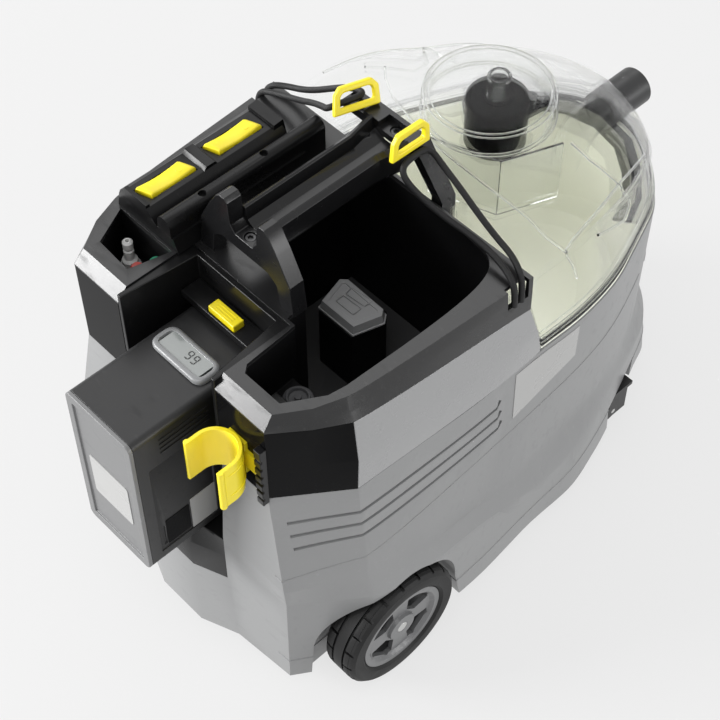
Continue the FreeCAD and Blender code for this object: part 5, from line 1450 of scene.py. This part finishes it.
@dataclass
class SuctionClip(Assembly):
    """Yellow spring clip for the suction tube, on its rail."""

    plain: Plain = ((Finish.YELLOW, 1, ("accessory_clip",)), (Finish.SATIN, 0.8, ("clip_rail",)))
    axis: Flat = (-246.5, -75)
    outer: float = 19.0
    rib_heights: Flat = (283, 307)
    rib_radius: float = 0.8
    turn_steps: int = 45
    rib_steps: range = range(-14, 1)

    def add(self) -> None:
        """Raise the two stiffening ribs on the clip's back."""
        arc = [turned(self.outer, step, self.turn_steps) for step in self.rib_steps]
        for number, height in enumerate(self.rib_heights):
            points = [(self.axis[0] + x, self.axis[1] + y, height) for x, y in arc]
            rib = self.shop.cord(f"clip_rib_{number}", [points], self.rib_radius, smooth=True)
            self.shop.dress(rib, "accessory_clip", Finish.YELLOW)


@dataclass
class ElasticStraps(Assembly):
    """Two black elastic straps, each held by a side slot and a yellow hook.

    Each route holds its side, the strap's length and the points of its line.
    """

    plain: Plain = ((Finish.YELLOW, 1.8, ("hook_right", "hook_left")),)
    diameter: float = 5.0
    routes: tuple[tuple[str, float, tuple[Point, ...]], ...] = (
        ("right", 301.1, (
            (-19.5, -137.6, 334.9), (-19.5, -137.4, 346), (-18.5, -133, 356.5), (-15.5, -121, 360),
            (-13.5, -105, 362.5), (-15, -86, 366), (-20, -66, 371.5), (-26, -49, 382),
            (-31, -36.5, 395), (-29, -31.4, 402.5), (-16, -30.9, 405), (-1, -31, 402.5),
            (-2.3, -45, 396.5), (-2.2, -63, 386.5), (-1.5, -82, 373), (-1.5, -101, 363),
            (-3.5, -118, 360), (-9.5, -131.8, 357.5), (-12.3, -137.2, 349),
            (-12.5, -137.6, 334.9))),
        ("left", 289, (
            (-19.5, 137.6, 334.9), (-19.5, 137.4, 346), (-18.7, 133.2, 356.5), (-17, 122.5, 361),
            (-15, 106, 366.5), (-17, 88, 376), (-20.5, 70, 388.5), (-26, 54, 399.5),
            (-30.5, 45, 406.5), (-22, 40.6, 409.2), (-8, 36.2, 409.2), (-0.5, 37.4, 409),
            (-1, 52, 404), (-1.5, 70, 391), (-1.8, 88, 377), (-1.8, 105, 366), (-3.5, 120, 360.5),
            (-9, 132.2, 357.5), (-11.6, 137.2, 349), (-11.8, 137.6, 334.9))))

    def add(self) -> None:
        """Lay the straps."""
        for side, length, route in self.routes:
            strap = self.shop.cord("elastic_" + side, [route], self.diameter / 2, smooth=True)
            self.shop.dress(strap, "strap_" + side, Finish.ELASTIC, replace=True)
            start = [value * MM for value in route[0]]
            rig.cord(strap, start, length * MM, self.diameter * MM, "object",
                    stiffness="limp", lay="taut")


@dataclass
class SuctionTurbine(Assembly):
    """Suction motor with its fan, housing and duct."""

    plain: Plain = (
        (Finish.WHITE, 0.4, ("fan_impeller",)),
        (Finish.SATIN, 0.9, ("turbine_housing", "suction_duct")),
        (Finish.STEEL, 0.8, ("motor",)))


@dataclass
class Electrics(Assembly):
    """Circuit board and spray pump inside the tub."""

    plain: Plain = ((Finish.BOARD, 0.2, ("control_board",)), (Finish.SATIN, 0.9, ("pump",)))


@dataclass(frozen=True)
class PhotoCamera:
    """Camera at the photograph's place, for an image of 720 by 720."""

    azimuth: float = -43.184
    elevation: float = 51.941
    roll: float = -0.179
    focal_pixels: float = 1727.09
    image: float = 720.0
    sensor: float = 36.0
    target: Point = (-0.060177, -0.020931, 0.2)
    distance: float = 1.365314

    def build(self) -> None:
        """Add the camera and make it the scene's own."""
        turn, tilt, twist = (math.radians(v) for v in (self.azimuth, self.elevation, self.roll))
        level = math.cos(tilt)
        back = Vector((math.sin(turn) * level, -math.cos(turn) * level, math.sin(tilt)))
        right = Vector((math.cos(turn), math.sin(turn), 0))
        up = back.cross(right)
        side = right * math.cos(twist) + up * math.sin(twist)
        top = up * math.cos(twist) - right * math.sin(twist)
        data = bpy.data.cameras.new("photo_camera")
        data.sensor_width = self.sensor
        data.sensor_fit = "HORIZONTAL"
        data.lens = self.sensor * self.focal_pixels / self.image
        data.clip_end = 50.0
        camera = placed("photo_camera", data)
        aimed = Matrix((side, top, back)).transposed().to_4x4()
        at = Vector(self.target) + back * self.distance
        camera.matrix_world = Matrix.Translation(at) @ aimed
        bpy.context.scene.camera = camera


@dataclass(frozen=True)
class Lamp:
    """Soft rectangular lamp."""

    name: str
    place: Point
    aim: Point
    size: Flat
    power: float

    def build(self) -> None:
        """Add the lamp."""
        data = bpy.data.lights.new(self.name, "AREA")
        data.shape = "RECTANGLE"
        data.size, data.size_y = self.size
        data.energy = self.power
        direction = Vector(self.aim) - Vector(self.place)
        aimed = direction.to_track_quat("-Z", "Y").to_matrix().to_4x4()
        placed(self.name, data).matrix_world = Matrix.Translation(self.place) @ aimed


@dataclass(frozen=True)
class Studio:
    """Pale floor, soft lamps and a pale surround."""

    floor_half: float = 8.0
    floor_top: float = -0.0005
    world_level: float = 0.58
    backdrop: Colour = (0.855, 0.855, 0.855)
    lamps: tuple[Lamp, ...] = (
        Lamp("key_lamp", (-1.6, -0.6, 3.6), (0, 0, 0.2), (2.2, 2.4), 40),
        Lamp("rear_lamp", (-3, 2.3, 1.5), (-0.1, 0.1, 0.25), (1.6, 1.3), 190),
        Lamp("side_lamp", (1.3, -3.3, 1.1), (0, 0, 0.2), (2.6, 1.3), 52),
        Lamp("left_lamp", (-1, 3.4, 1.1), (0, 0, 0.25), (2.6, 1.3), 50),
        Lamp("top_lamp", (1.9, 2.1, 3.9), (0, 0, 0.3), (2.8, 2.8), 40))

    def build(self) -> None:
        """Add floor, lamps and world."""
        self._floor()
        for lamp in self.lamps:
            lamp.build()
        self._world()

    def _floor(self) -> None:
        """Add the floor of glowing paper."""
        half, top = self.floor_half, self.floor_top
        mesh = bpy.data.meshes.new("floor")
        corners = [(-half, -half, top), (half, -half, top), (half, half, top), (-half, half, top)]
        mesh.from_pydata(corners, [], [(0, 1, 2, 3)])
        mesh.materials.append(Paper().build("floor_paper"))
        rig.stage(placed("floor", mesh))

    def _world(self) -> None:
        """Light the scene evenly, and show it pale to the camera, in gloss and through glass."""
        world = bpy.data.worlds.new("surround")
        bpy.context.scene.world = world
        graph = Graph(world)
        share = graph.node("ShaderNodeLightPath", {}, {}, "Is Camera Ray")
        for ray in ("Is Glossy Ray", "Is Transmission Ray"):
            share = share.maths("MAXIMUM", share, graph.node("ShaderNodeLightPath", {}, {}, ray))
        light = {"Color": WHITE, "Strength": self.world_level}
        lit = graph.node("ShaderNodeBackground", {}, light)
        seen = graph.node("ShaderNodeBackground", {}, {"Color": self.backdrop})
        both = graph.node("ShaderNodeMixShader", {}, {0: share, 1: lit, 2: seen})
        graph.node("ShaderNodeOutputWorld", {}, {"Surface": both})


@dataclass(frozen=True)
class SizeNote:
    """Writes the box of the frame and the box of the dressed model."""

    frame_box: Any
    path: str = "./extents.json"

    def write(self) -> None:
        """Write both boxes as plain lists."""
        boxes = {"frame": self.frame_box, "dressed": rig.bounds()}
        plain = {name: [list(corner) for corner in box] for name, box in boxes.items()}
        with open(self.path, "w", encoding="utf-8") as handle:
            json.dump(plain, handle, indent=1)


ASSEMBLIES: tuple[type[Assembly], ...] = (
    LowerTub, Deck, WaterFill, Battery, ReleaseBar, Handle, Console, RearWheels, Casters,
    DirtyTank, ClearCover, FloatUnit, SuctionClip, ElasticStraps, SuctionTurbine, Electrics)


def main() -> None:
    """Load the frame, build every assembly and note the sizes."""
    logging.basicConfig(level=logging.INFO, format="%(name)s: %(message)s")
    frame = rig.load()
    note = SizeNote(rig.bounds())
    PhotoCamera().build()
    Studio().build()
    bpy.context.scene.view_settings.view_transform = "Standard"
    shop = Workshop(frame)
    for kind in ASSEMBLIES:
        kind(shop).build()
        LOG.info("%s done, %d pieces so far", kind.__name__, len(shop.made))
    note.write()


if __name__ == "__main__":
    main()
